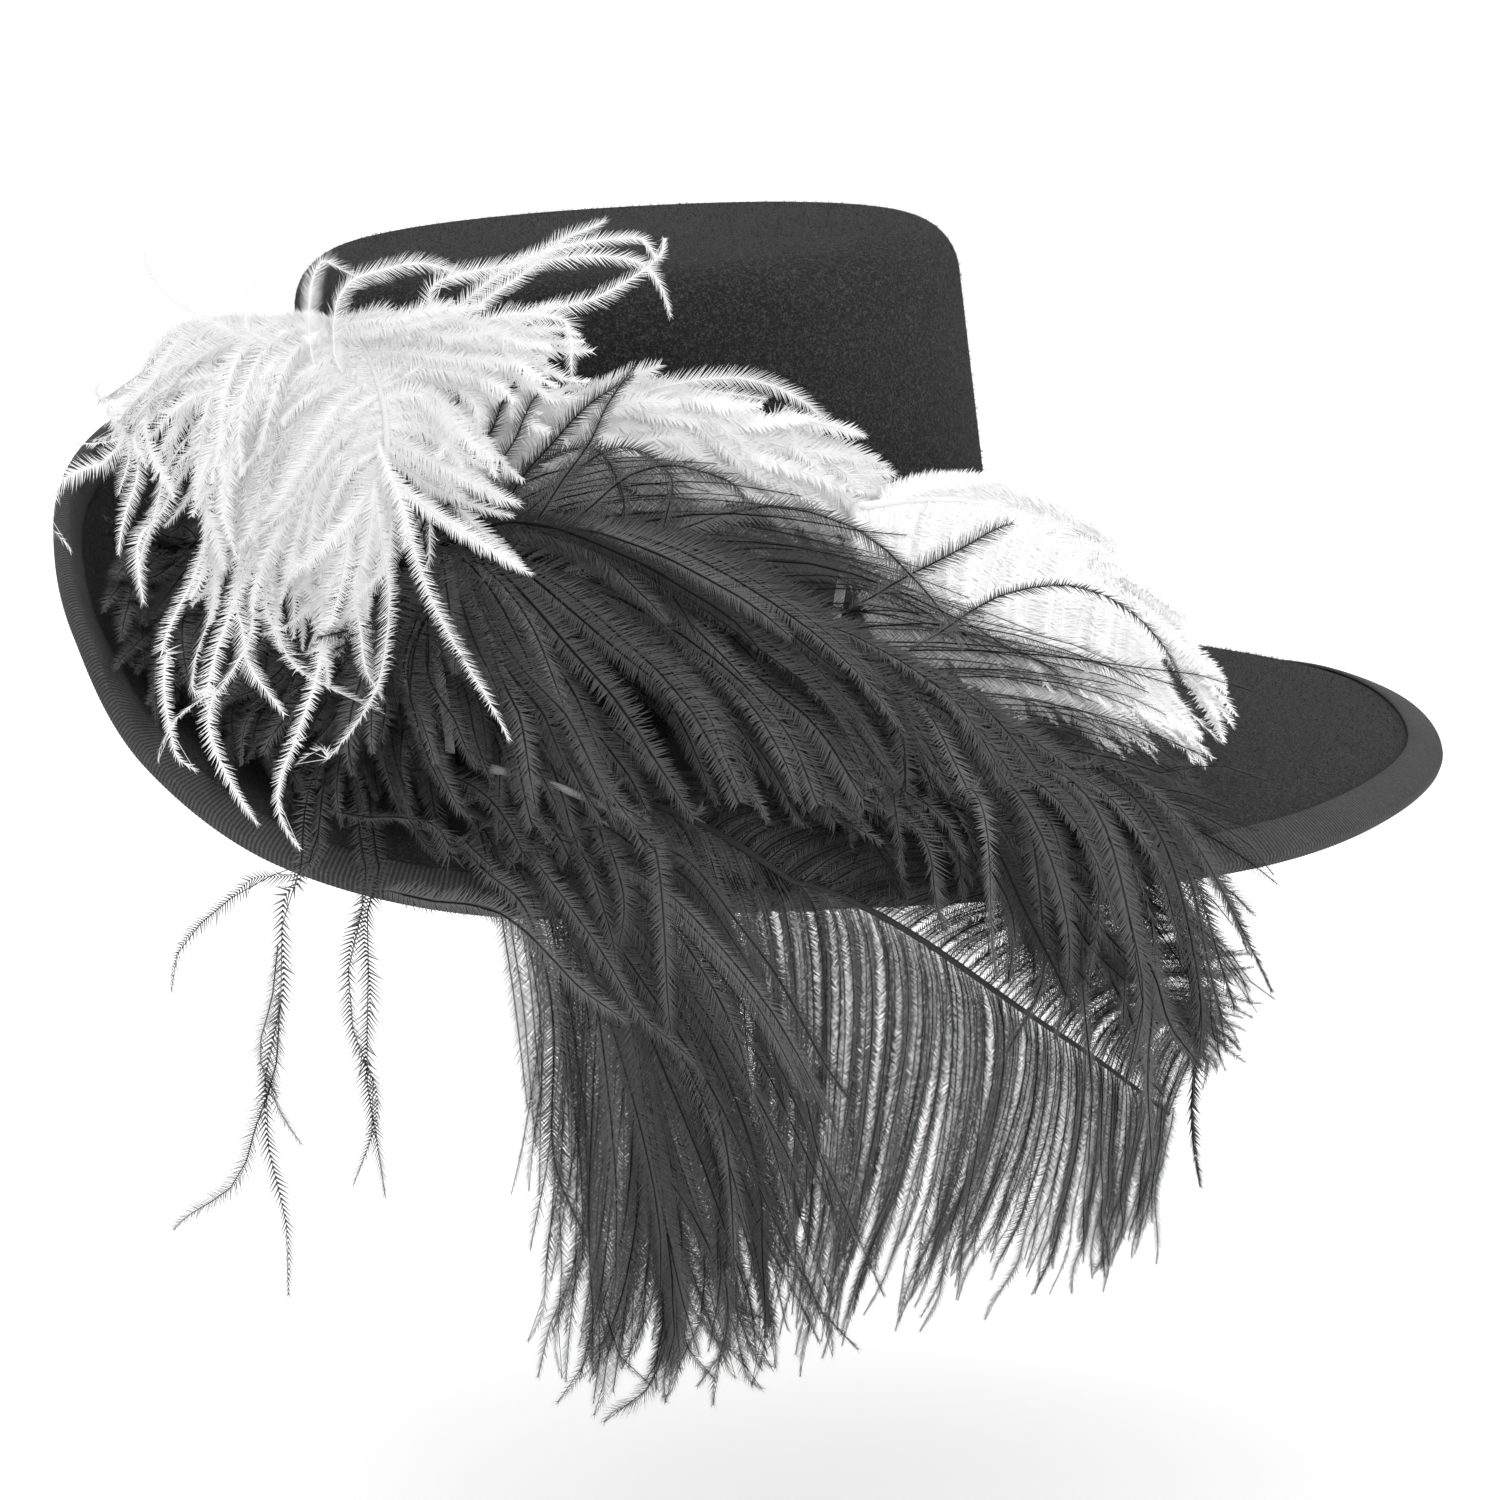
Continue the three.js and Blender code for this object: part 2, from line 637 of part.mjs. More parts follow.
function plumeBody(plume) {
  const height = (plume.layer - 0.2) * layerSpacing;
  const spinePlaces = plume.spine.map((unused, index) => index / (plume.spine.length - 1));
  const spineAt = smoothTable(spinePlaces, plume.spine);
  const seat = brimProfile(plume.root.angle, plume.root.out);
  const path = [2 * clearance, quillStand].map((lift) => placeOut(plume.root.angle, seat.out, seat.up + lift));
  for (let step = 0; step <= quillSteps; step += 1) {
    path.push(drape(spineAt(step / quillSteps), plume.loft, height).point);
  }
  const sheets = plume.vanes.map((vane, index) =>
    asSolid(vaneSheet(plume, vane, spineAt, height + (index - 0.5) * vaneSpacing)),
  );
  return sheets.reduce((body, sheet) => body.add(sheet), asSolid(quillTube(path)));
}

const looks = {
  felt: { color: 0x17171a, roughness: 0.95, metalness: 0 },
  ribbon: { color: 0x1f1f22, roughness: 0.7, metalness: 0 },
  white: { color: 0xe8e8e6, roughness: 0.9, metalness: 0 },
  black: { color: 0x141416, roughness: 0.8, metalness: 0 },
};

function namedMesh(name, geometry, look) {
  const mesh = new THREE.Mesh(geometry, new THREE.MeshStandardMaterial(looks[look]));
  mesh.name = name;
  return mesh;
}

const hat = new THREE.Group();
hat.add(namedMesh("felt_hat_body", feltBody(), "felt"));
hat.add(namedMesh("brim_binding", brimBinding(), "ribbon"));
plumes.forEach((plume) => hat.add(namedMesh(plume.name, asGeometry(plumeBody(plume)), plume.colour)));

export default hat;
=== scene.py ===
import bpy
import numpy as np
from mathutils import Matrix, Vector


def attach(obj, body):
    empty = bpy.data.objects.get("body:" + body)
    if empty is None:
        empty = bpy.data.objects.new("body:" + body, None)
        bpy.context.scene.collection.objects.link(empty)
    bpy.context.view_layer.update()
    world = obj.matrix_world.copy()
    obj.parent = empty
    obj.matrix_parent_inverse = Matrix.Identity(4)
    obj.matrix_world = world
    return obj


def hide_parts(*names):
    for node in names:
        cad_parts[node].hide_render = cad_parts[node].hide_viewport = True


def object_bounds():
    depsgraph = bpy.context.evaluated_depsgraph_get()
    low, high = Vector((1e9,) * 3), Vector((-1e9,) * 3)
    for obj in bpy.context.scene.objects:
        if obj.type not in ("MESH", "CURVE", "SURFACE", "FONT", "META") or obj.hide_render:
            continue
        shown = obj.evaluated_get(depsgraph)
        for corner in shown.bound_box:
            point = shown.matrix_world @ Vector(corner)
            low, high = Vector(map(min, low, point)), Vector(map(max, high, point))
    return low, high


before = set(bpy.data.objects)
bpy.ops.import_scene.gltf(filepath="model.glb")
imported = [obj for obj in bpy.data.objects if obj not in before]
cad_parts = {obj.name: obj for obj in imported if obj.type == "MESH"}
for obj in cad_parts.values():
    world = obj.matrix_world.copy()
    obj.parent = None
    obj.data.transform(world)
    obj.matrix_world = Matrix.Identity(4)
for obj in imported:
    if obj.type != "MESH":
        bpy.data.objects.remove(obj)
cad_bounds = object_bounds()

# Camera: a long lens a little above the brim, leaning as the hat leans in the picture. The hat stands
# left of the picture's centre and above it, so the camera looks at a point beside the head opening.
VIEW_DISTANCE = 2.2
VIEW_ELEVATION = np.radians(11.0)
VIEW_ROLL = np.radians(3.4)
VIEW_WIDTH = 0.42825  # what the picture takes in at the head opening
LOOK_RIGHT = 0.0283
LOOK_DOWN = 0.018

back = Vector((0, -np.cos(VIEW_ELEVATION), np.sin(VIEW_ELEVATION)))
level_right = Vector((1, 0, 0))
level_up = back.cross(level_right)
view_right = level_right * np.cos(VIEW_ROLL) - level_up * np.sin(VIEW_ROLL)
view_up = level_right * np.sin(VIEW_ROLL) + level_up * np.cos(VIEW_ROLL)
eye = back * VIEW_DISTANCE
look_at = view_right * LOOK_RIGHT - view_up * LOOK_DOWN
camera_back = (eye - look_at).normalized()
camera_right = view_up.cross(camera_back).normalized()
camera_up = camera_back.cross(camera_right)
camera_data = bpy.data.cameras.new("camera")
camera_data.sensor_width = 36
camera_data.lens = camera_data.sensor_width * VIEW_DISTANCE / VIEW_WIDTH
camera_data.clip_end = 50
camera = bpy.data.objects.new("camera", camera_data)
turn = Matrix((camera_right, camera_up, camera_back)).transposed()
camera.matrix_world = Matrix.Translation(eye) @ turn.to_4x4()
bpy.context.collection.objects.link(camera)
bpy.context.scene.camera = camera

# Studio: a white tent of light all round, a large soft lamp above the front, and a pale floor well
# below the hanging plumes.
bpy.context.scene.view_settings.view_transform = "Standard"


def set_inputs(node, values):
    """The node, with the values of some of its inputs set."""
    for key, value in values.items():
        node.inputs[key].default_value = value
    return node


world = bpy.data.worlds.new("white tent")
world.use_nodes = True
set_inputs(world.node_tree.nodes["Background"], {"Color": (1, 1, 1, 1), "Strength": 1.0})
bpy.context.scene.world = world


def soft_lamp(name, place, size, power):
    """A square area lamp that faces the head opening."""
    data = bpy.data.lights.new(name, "AREA")
    data.size = size
    data.energy = power
    lamp = bpy.data.objects.new(name, data)
    lamp.location = place
    lamp.rotation_euler = (-Vector(place)).to_track_quat("-Z", "Y").to_euler()
    bpy.context.collection.objects.link(lamp)


soft_lamp("key lamp", (0.6, -1.6, 0.8), 0.9, 10)
soft_lamp("back lamp", (-0.4, 1.2, 1.3), 0.8, 6)

FLOOR_DROP = 0.09
FLOOR_HALF = 12.0
floor_mesh = bpy.data.meshes.new("floor")
floor_level = min(corner[2] for corner in cad_bounds) - FLOOR_DROP
corners = [(-1, -1), (1, -1), (1, 1), (-1, 1)]
floor_points = [(x * FLOOR_HALF, y * FLOOR_HALF, floor_level) for x, y in corners]
floor_mesh.from_pydata(floor_points, [], [(0, 1, 2, 3)])
floor = bpy.data.objects.new("floor", floor_mesh)
bpy.context.collection.objects.link(floor)
floor_paint = bpy.data.materials.new("pale floor")
floor_paint.use_nodes = True
set_inputs(floor_paint.node_tree.nodes["Principled BSDF"], {
    "Base Color": (0.93, 0.93, 0.93, 1),
    "Roughness": 0.9,
    "Emission Color": (1, 1, 1, 1),
    "Emission Strength": 0.25,
})
floor_mesh.materials.append(floor_paint)

# Felt body: crown and brim of the real hat are one cone of wool felt, pulled over a block, shrunk and
# stiffened. The wall is one thickness all over and open below for the head. Its short brushed nap is
# single fibres that stand out of the upper face.
HEAD_LENGTH = 0.198
HEAD_WIDTH = 0.163
FELT_THICKNESS = 0.0025
CROWN_HEIGHT = 0.130
CROWN_TAPER = 0.0085
CROWN_EDGE_RADIUS = 0.015
CROWN_DOME = 0.003
JUNCTION_SIZE = 0.007
BRIM_WIDTH = 0.120
OVAL_POWER = 2.2
CURL_START = 0.8
OUTER_LENGTH = HEAD_LENGTH / 2 + FELT_THICKNESS
OUTER_WIDTH = HEAD_WIDTH / 2 + FELT_THICKNESS

# angle, out, up, bow and curl of the brim's sections, the last four as shares of BRIM_WIDTH
BRIM_SECTIONS = np.array([
    (0, 1.02, -0.25, 0.04, 0.02),
    (22, 1.05, -0.23, 0.04, 0.01),
    (42, 1.05, -0.26, 0.05, 0),
    (66, 1.0, -0.2, 0.05, 0),
    (90, 0.92, -0.06, 0.02, 0),
    (112, 0.74, 0.26, -0.08, 0),
    (130, 0.55, 0.52, -0.12, 0),
    (147, 0.43, 0.66, -0.14, 0),
    (163, 0.41, 0.67, -0.14, 0),
    (180, 0.46, 0.62, -0.13, 0),
    (198, 0.55, 0.52, -0.11, 0),
    (213, 0.69, 0.37, -0.08, 0.01),
    (227, 0.85, 0.14, -0.03, 0.03),
    (240, 0.93, -0.04, 0.01, 0.04),
    (256, 0.955, -0.145, 0.04, 0.05),
    (280, 0.97, -0.17, 0.06, 0.05),
    (317, 1.01, -0.23, 0.06, 0.05),
    (338, 0.985, -0.25, 0.05, 0.04),
])


def smooth_table(places, rows, at):
    """A cubic curve through the rows, whose slope at each row is that between the rows beside it, and
    which ends without bending."""
    places = np.asarray(places, float)
    rows = np.asarray(rows, float)
    slopes = np.empty_like(rows)
    slopes[1:-1] = (rows[2:] - rows[:-2]) / (places[2:] - places[:-2])[:, None]
    slopes[0] = 1.5 * (rows[1] - rows[0]) / (places[1] - places[0]) - 0.5 * slopes[1]
    slopes[-1] = 1.5 * (rows[-1] - rows[-2]) / (places[-1] - places[-2]) - 0.5 * slopes[-2]
    at = np.asarray(at, float)
    row = np.clip(np.searchsorted(places, at, side="right") - 1, 0, len(places) - 2)
    step = (places[row + 1] - places[row])[..., None]
    part = (at - places[row])[..., None] / step
    square, cube = part**2, part**3
    return ((2 * cube - 3 * square + 1) * rows[row] + (cube - 2 * square + part) * step * slopes[row]
            + (3 * square - 2 * cube) * rows[row + 1] + (cube - square) * step * slopes[row + 1])


def even_table(rows, at):
    """The cubic curve through rows that stand at even steps from 0 to 1."""
    return smooth_table(np.linspace(0, 1, len(rows)), rows, at)


def brim_sizes(angle):
    """out, up, bow and curl at any angle, from the sections repeated one turn either way."""
    places = np.concatenate([BRIM_SECTIONS[:, 0] + turn for turn in (-360, 0, 360)])
    rows = np.tile(BRIM_SECTIONS[:, 1:], (3, 1))
    return np.moveaxis(smooth_table(places, rows, np.mod(angle, 360)), -1, 0)


def signed_power(value, power):
    return np.sign(value) * np.abs(value) ** power


def oval(angle, length, width):
    """x and y of a superellipse: the signed powers of cosine and sine times half its length and width."""
    x = length * signed_power(np.cos(np.radians(angle)), 2 / OVAL_POWER)
    y = width * signed_power(np.sin(np.radians(angle)), 2 / OVAL_POWER)
    return x, y


def outward(angle):
    """The level direction square to the crown's foot, from the superellipse's slope."""
    x, y = oval(angle, OUTER_LENGTH, OUTER_WIDTH)
    x = signed_power(x / OUTER_LENGTH, OVAL_POWER - 1) / OUTER_LENGTH
    y = signed_power(y / OUTER_WIDTH, OVAL_POWER - 1) / OUTER_WIDTH
    size = np.hypot(x, y)
    return x / size, y / size


def stacked(a, b, c):
    """Rows of three values from three arrays, each of which may be one number."""
    return np.stack(np.broadcast_arrays(a, b, c), -1)


def place_out(angle, out, up):
    """A point a distance out from the crown's foot, square to it, and a height above it."""
    x, y = oval(angle, OUTER_LENGTH, OUTER_WIDTH)
    away_x, away_y = outward(angle)
    return stacked(x + away_x * out, y + away_y * out, up)


def brim_profile(angle, share):
    """How far out and up the brim's face is: a quadratic arch over the chord to the edge, whose last part
    turns down by the square of the way along it."""
    out, up, bow, curl = brim_sizes(angle) * BRIM_WIDTH
    rise = up + curl
    chord = np.hypot(out, rise)
    bend_out = out / 2 - rise / chord * 2 * bow
    bend_up = rise / 2 + out / chord * 2 * bow
    turned = np.maximum((share - CURL_START) / (1 - CURL_START), 0)
    here = 2 * share * (1 - share)
    return here * bend_out + share**2 * out, here * bend_up + share**2 * rise - curl * turned**2


def brim_point(angle, share):
    return place_out(angle, *brim_profile(angle, share))


def felt_rows(angle):
    """The outer face from the crown's middle to the brim's edge: flat dome, quarter round, leaning wall,
    a turn that eases from wall to brim, and the brim's arch."""
    rows = []
    lean = CROWN_TAPER / CROWN_HEIGHT  # how far the wall comes in for each metre it rises
    wall_top = CROWN_HEIGHT - CROWN_EDGE_RADIUS
    top_inset = lean * wall_top + CROWN_EDGE_RADIUS
    for share in np.linspace(0.15, 0.96, 7):
        x, y = oval(angle, (OUTER_LENGTH - top_inset) * share, (OUTER_WIDTH - top_inset) * share)
        rows.append(stacked(x, y, CROWN_HEIGHT + CROWN_DOME * (1 - share**2)))
    for bend in np.radians(np.linspace(90, 0, 12)):
        inset = lean * wall_top + CROWN_EDGE_RADIUS * (1 - np.cos(bend))
        x, y = oval(angle, OUTER_LENGTH - inset, OUTER_WIDTH - inset)
        rows.append(stacked(x, y, wall_top + CROWN_EDGE_RADIUS * np.sin(bend)))
    for height in np.linspace(wall_top, JUNCTION_SIZE, 14)[1:-1]:
        x, y = oval(angle, OUTER_LENGTH - lean * height, OUTER_WIDTH - lean * height)
        rows.append(stacked(x, y, height))
    turn_share = JUNCTION_SIZE / BRIM_WIDTH
    end_out, end_up = brim_profile(angle, turn_share)
    for share in np.linspace(0, 1, 9)[:-1]:
        up = (1 - share) ** 2 * JUNCTION_SIZE + share**2 * end_up
        rows.append(place_out(angle, share**2 * end_out - lean * up, up))
    for share in np.linspace(turn_share, 1, 34):
        rows.append(brim_point(angle, share))
    return np.stack(rows, 1)


def unit(vectors):
    return vectors / np.maximum(np.linalg.norm(vectors, axis=-1, keepdims=True), 1e-12)


def triangles(a, b, c):
    """Faces from arrays of their corners, or from one corner that they share."""
    return stacked(a, b, c).reshape(-1, 3)


def cell_faces(a, b, c, d):
    """Two triangles for each four-sided cell, from arrays of its corners in their order round it."""
    return np.concatenate([triangles(a, b, c), triangles(a, c, d)])


def ring_faces(columns, rows, start=0, close_rows=False):
    """Triangles of a grid that closes round on itself in its first direction, and in its second too if
    close_rows."""
    steps = rows if close_rows else rows - 1
    column, row = np.meshgrid(np.arange(columns), np.arange(steps), indexing="ij")
    beside = (column + 1) % columns
    below = (row + 1) % rows
    here, there = start + column * rows, start + beside * rows
    return cell_faces(here + row, here + below, there + below, there + row)


def add_piece(name, points, faces, material, replaced, uv=None, tone=None):
    """One mesh object from arrays of points and triangles, riding on the hat in place of CAD nodes. uv and
    tone have a row for each point."""
    mesh = bpy.data.meshes.new(name)
    mesh.vertices.add(len(points))
    mesh.vertices.foreach_set("co", np.asarray(points, np.float32).ravel())
    mesh.loops.add(3 * len(faces))
    mesh.loops.foreach_set("vertex_index", np.asarray(faces, np.int32).ravel())
    mesh.polygons.add(len(faces))
    mesh.polygons.foreach_set("loop_start", np.arange(0, 3 * len(faces), 3, dtype=np.int32))
    mesh.polygons.foreach_set("use_smooth", np.ones(len(faces), bool))
    if uv is not None:
        layer = mesh.uv_layers.new(name="barb")
        layer.data.foreach_set("uv", np.asarray(uv, np.float32)[np.asarray(faces).ravel()].ravel())
    if tone is not None:
        tones = mesh.attributes.new("tone", "FLOAT", "POINT")
        tones.data.foreach_set("value", np.asarray(tone, np.float32))
    mesh.update(calc_edges=True)
    mesh.materials.append(material)
    piece = bpy.data.objects.new(name, mesh)
    bpy.context.collection.objects.link(piece)
    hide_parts(*replaced)
    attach(piece, "root")


def new_group(name, inputs, outputs):
    """An empty shader node group with named sockets, each given as a name and a kind of value."""
    group = bpy.data.node_groups.new(name, "ShaderNodeTree")
    for names, way in ((inputs, "INPUT"), (outputs, "OUTPUT")):
        for label, kind in names:
            group.interface.new_socket(name=label, in_out=way, socket_type="NodeSocket" + kind)
    return group, group.nodes.new("NodeGroupInput"), group.nodes.new("NodeGroupOutput")


def fibre_group():
    """Short matted fibres: fine noise stretched by a coarser one, as a height and as a tone about 1."""
    group, given, made = new_group(
        "matted fibres",
        [("Fibre Scale", "Float"), ("Fleck", "Float")],
        [("Tone", "Float"), ("Height", "Float")],
    )
    nodes, link = group.nodes, group.links.new
    place = nodes.new("ShaderNodeTexCoord")
    fine = set_inputs(nodes.new("ShaderNodeTexNoise"), {"Detail": 4, "Roughness": 0.7, "Distortion": 1.2})
    coarse = set_inputs(nodes.new("ShaderNodeTexNoise"), {"Scale": 38, "Detail": 3})
    link(place.outputs["Object"], fine.inputs["Vector"])
    link(place.outputs["Object"], coarse.inputs["Vector"])
    link(given.outputs["Fibre Scale"], fine.inputs["Scale"])
    fleck = set_inputs(nodes.new("ShaderNodeMapRange"), {"From Min": 0.49, "From Max": 0.66, "To Min": 0})
    link(fine.outputs["Fac"], fleck.inputs["Value"])
    link(given.outputs["Fleck"], fleck.inputs["To Max"])
    patch = set_inputs(nodes.new("ShaderNodeMapRange"), {"To Min": 0.75, "To Max": 1.2})
    link(coarse.outputs["Fac"], patch.inputs["Value"])
    total = nodes.new("ShaderNodeMath")
    total.operation = "ADD"
    link(fleck.outputs["Result"], total.inputs[0])
    link(patch.outputs["Result"], total.inputs[1])
    link(total.outputs["Value"], made.inputs["Tone"])
    link(fine.outputs["Fac"], made.inputs["Height"])
    return group


FIBRES = fibre_group()


def cloth_material(name, colour, roughness, sheen, fibre_scale, fleck, bump, painted_groove_shade=0):
    """A principled cloth whose colour and height come from the matted fibres. Its last argument darkens its
    grooves by the tone that each point of its mesh carries: painted shade for the shade that falls in them."""
    material = bpy.data.materials.new(name)
    material.use_nodes = True
    nodes, link = material.node_tree.nodes, material.node_tree.links.new
    shader = set_inputs(nodes["Principled BSDF"], {
        "Roughness": roughness,
        "Sheen Weight": sheen,
        "Sheen Roughness": 0.5,
        "Specular IOR Level": 0.03,
    })
    fibres = nodes.new("ShaderNodeGroup")
    fibres.node_tree = FIBRES
    set_inputs(fibres, {"Fibre Scale": fibre_scale, "Fleck": fleck})
    shade = nodes.new("ShaderNodeVectorMath")
    shade.operation = "SCALE"
    set_inputs(shade, {"Vector": colour})
    # Painted shade: the grooves between the ribs are coloured darker by the tone that the mesh carries.
    groove = nodes.new("ShaderNodeAttribute")
    groove.attribute_name = "tone"
    groove_shade_factor = nodes.new("ShaderNodeMath")
    groove_shade_factor.operation = "MULTIPLY_ADD"
    set_inputs(groove_shade_factor, {1: painted_groove_shade, 2: 1})
    link(groove.outputs["Fac"], groove_shade_factor.inputs[0])
    scaled = nodes.new("ShaderNodeMath")
    scaled.operation = "MULTIPLY"
    link(fibres.outputs["Tone"], scaled.inputs[0])
    link(groove_shade_factor.outputs["Value"], scaled.inputs[1])
    link(scaled.outputs["Value"], shade.inputs["Scale"])
    link(shade.outputs["Vector"], shader.inputs["Base Color"])
    relief = set_inputs(nodes.new("ShaderNodeBump"), {"Strength": bump, "Distance": 0.001})
    link(fibres.outputs["Height"], relief.inputs["Height"])
    link(relief.outputs["Normal"], shader.inputs["Normal"])
    return material


felt = cloth_material("black wool felt", (0.0168, 0.0168, 0.0173), roughness=0.95, sheen=0.08,
                      fibre_scale=1150, fleck=3.8, bump=1.0)
FELT_COLUMNS = 240
felt_angles = np.arange(FELT_COLUMNS) * 360 / FELT_COLUMNS
outer = felt_rows(felt_angles)
across = np.gradient(outer, axis=1)
around = np.roll(outer, -1, axis=0) - np.roll(outer, 1, axis=0)
inner = outer - unit(np.cross(across, around)) * FELT_THICKNESS
felt_row_count = outer.shape[1]
inner_start = FELT_COLUMNS * felt_row_count
outer_pole = 2 * inner_start
inner_pole = outer_pole + 1
poles = [(0, 0, CROWN_HEIGHT + CROWN_DOME), (0, 0, CROWN_HEIGHT + CROWN_DOME - FELT_THICKNESS)]
felt_points = np.concatenate([outer.reshape(-1, 3), inner.reshape(-1, 3), poles])
column = np.arange(FELT_COLUMNS)
first = column * felt_row_count
beside = (column + 1) % FELT_COLUMNS * felt_row_count
last, last_beside = first + felt_row_count - 1, beside + felt_row_count - 1
felt_faces = np.concatenate([
    ring_faces(FELT_COLUMNS, felt_row_count),
    ring_faces(FELT_COLUMNS, felt_row_count, inner_start)[:, ::-1],
    triangles(outer_pole, first, beside),
    triangles(inner_pole, inner_start + beside, inner_start + first),
    cell_faces(last, inner_start + last, inner_start + last_beside, last_beside),
])
NAP_FIBRES = 56000
NAP_LENGTH = 0.0017
NAP_THICKNESS = 0.00014
NAP_LEAN = 0.6


def nap(surface, square, rng):
    """Single fibres that stand out of the felt, each a thin triangle: a spot inside a cell of the grid,
    with more of them in the larger cells, and a way up that leans at random."""
    beside = np.roll(surface, -1, axis=0)
    here = surface[:, :-1]
    sizes = np.linalg.norm(np.cross(beside[:, :-1] - here, surface[:, 1:] - here), axis=-1)
    cell = rng.choice(sizes.size, NAP_FIBRES, p=(sizes / sizes.sum()).ravel())
    column, row = np.divmod(cell, sizes.shape[1])
    part = rng.uniform(0, 1, (2, NAP_FIBRES, 1))
    near = surface[column, row] * (1 - part[0]) + surface[column, row + 1] * part[0]
    far = beside[column, row] * (1 - part[0]) + beside[column, row + 1] * part[0]
    foot = near * (1 - part[1]) + far * part[1]
    up = unit(square[column, row] + rng.normal(0, NAP_LEAN, (NAP_FIBRES, 3)))
    across = unit(np.cross(up, rng.normal(0, 1, (NAP_FIBRES, 3)))) * NAP_THICKNESS / 2
    tip = foot + up * NAP_LENGTH * rng.uniform(0.35, 1, (NAP_FIBRES, 1))
    points = np.stack([foot - across, foot + across, tip], 1).reshape(-1, 3)
    return points, np.arange(3 * NAP_FIBRES).reshape(-1, 3)


nap_points, nap_faces = nap(outer, unit(np.cross(across, around)), np.random.default_rng(7))
felt_faces = np.concatenate([felt_faces, nap_faces + len(felt_points)])
felt_points = np.concatenate([felt_points, nap_points])
add_piece("felt_crown_and_brim", felt_points, felt_faces, felt, ["felt_hat_body"])

# Ribbon edge: a grosgrain ribbon folded over the brim's edge and sewn through. Its ribs lie square to
# the edge, and it turns under at both sides in a thin line.
RIBBON_WIDTH = 0.010
RIBBON_THICKNESS = 0.0009
RIBBON_GAP = 0.00035  # between the felt and the ribbon
RIB_PITCH = 0.00143
RIB_HEIGHT = 0.00016
FOLD_DEPTH = 1.25  # how far the fold stands past the edge, as a share of gap and thickness together
POINTS_PER_RIB = 3


def ribbon_section():
    """The section as distance back from the edge, distance past it and rise above the felt's upper face:
    a flat on each face joined by half an oval past the edge, then the same path inside it."""
    outside = RIBBON_GAP + RIBBON_THICKNESS
    under = -FELT_THICKNESS
    flats = [(1.0, 0.45), (0.965, 0.9), (0.65, 1), (0.3, 1)]
    upper = [(RIBBON_WIDTH * part, 0, RIBBON_GAP + RIBBON_THICKNESS * full) for part, full in flats]
    middle = under / 2
    bends = np.radians([70, 35, 0, -35, -70])
    past, half = outside * FOLD_DEPTH, outside - middle
    fold = [(0, past * np.cos(bend), middle + half * np.sin(bend)) for bend in bends]
    lower = [(back_off, 0, under - rise) for back_off, _, rise in reversed(upper)]
    inside = [(RIBBON_WIDTH, 0, under - RIBBON_GAP), (RIBBON_WIDTH / 2, 0, under - RIBBON_GAP),
              (0, RIBBON_GAP, under - RIBBON_GAP), (0, RIBBON_GAP, RIBBON_GAP),
              (RIBBON_WIDTH / 2, 0, RIBBON_GAP), (RIBBON_WIDTH, 0, RIBBON_GAP)]
    ribbed = [1] * (len(upper) + len(fold) + len(lower)) + [0] * len(inside)
    return np.array(upper + fold + lower + inside), np.array(ribbed)


def brim_frame(angle, share):
    """A point of the brim's upper face with the direction out across it and the one square to it."""
    step = 0.01
    point = brim_point(angle, share)
    outwards = unit(point - brim_point(angle, share - step))
    round_it = brim_point(angle + 1, share) - brim_point(angle - 1, share)
    return point, outwards, unit(np.cross(outwards, round_it))


def share_back(angle, distance):
    """The share of the way across the brim that lies a distance back from its edge."""
    step = 0.1
    edge_out, edge_up = brim_profile(angle, 1)
    near_out, near_up = brim_profile(angle, 1 - step)
    return 1 - distance * step / np.hypot(edge_out - near_out, edge_up - near_up)


def even_edge_angles(pitch, per_pitch):
    """Angles that cut the brim's edge into steps of one length, a whole number of pitches in all."""
    fine = np.linspace(0, 360, 3601)
    steps = np.linalg.norm(np.diff(brim_point(fine, 1), axis=0), axis=1)
    length = np.concatenate([[0], np.cumsum(steps)])
    count = int(round(length[-1] / pitch)) * per_pitch
    return np.interp(np.arange(count) * length[-1] / count, length, fine)


ribbon_angles = even_edge_angles(RIB_PITCH, POINTS_PER_RIB)
section, ribbed = ribbon_section()
rib_phase = 2 * np.pi * np.arange(len(ribbon_angles)) / POINTS_PER_RIB
rib_rise = RIB_HEIGHT * 0.5 * (1 + np.cos(rib_phase))
ribbon_points = []
for (back_off, past, rise), has_ribs in zip(section, ribbed):
    point, outwards, square = brim_frame(ribbon_angles, share_back(ribbon_angles, back_off))
    ribs = rib_rise[:, None] * has_ribs
    ripple = np.sign(rise + FELT_THICKNESS / 2) * ribs if past < RIBBON_GAP * 2 else 0
    beyond = past + (ribs if past > RIBBON_GAP * 2 else 0)
    ribbon_points.append(point + square * (rise + ripple) + outwards * beyond)
ribbon_points = np.stack(ribbon_points, 1)
ribbon_faces = ring_faces(len(ribbon_angles), len(section), close_rows=True)
# The tone of each section point paints the grooves between the ribs darker: painted shade in them.
ribbon_groove_shade = np.cos(rib_phase)[:, None] * ribbed
ribbon = cloth_material("black grosgrain", (0.055, 0.055, 0.056), roughness=0.75, sheen=0.03,
                        fibre_scale=900, fleck=0.5, bump=0.2, painted_groove_shade=0.6)
add_piece("grosgrain_edge", ribbon_points.reshape(-1, 3), ribbon_faces, ribbon, ["brim_binding"],
          tone=ribbon_groove_shade.ravel())

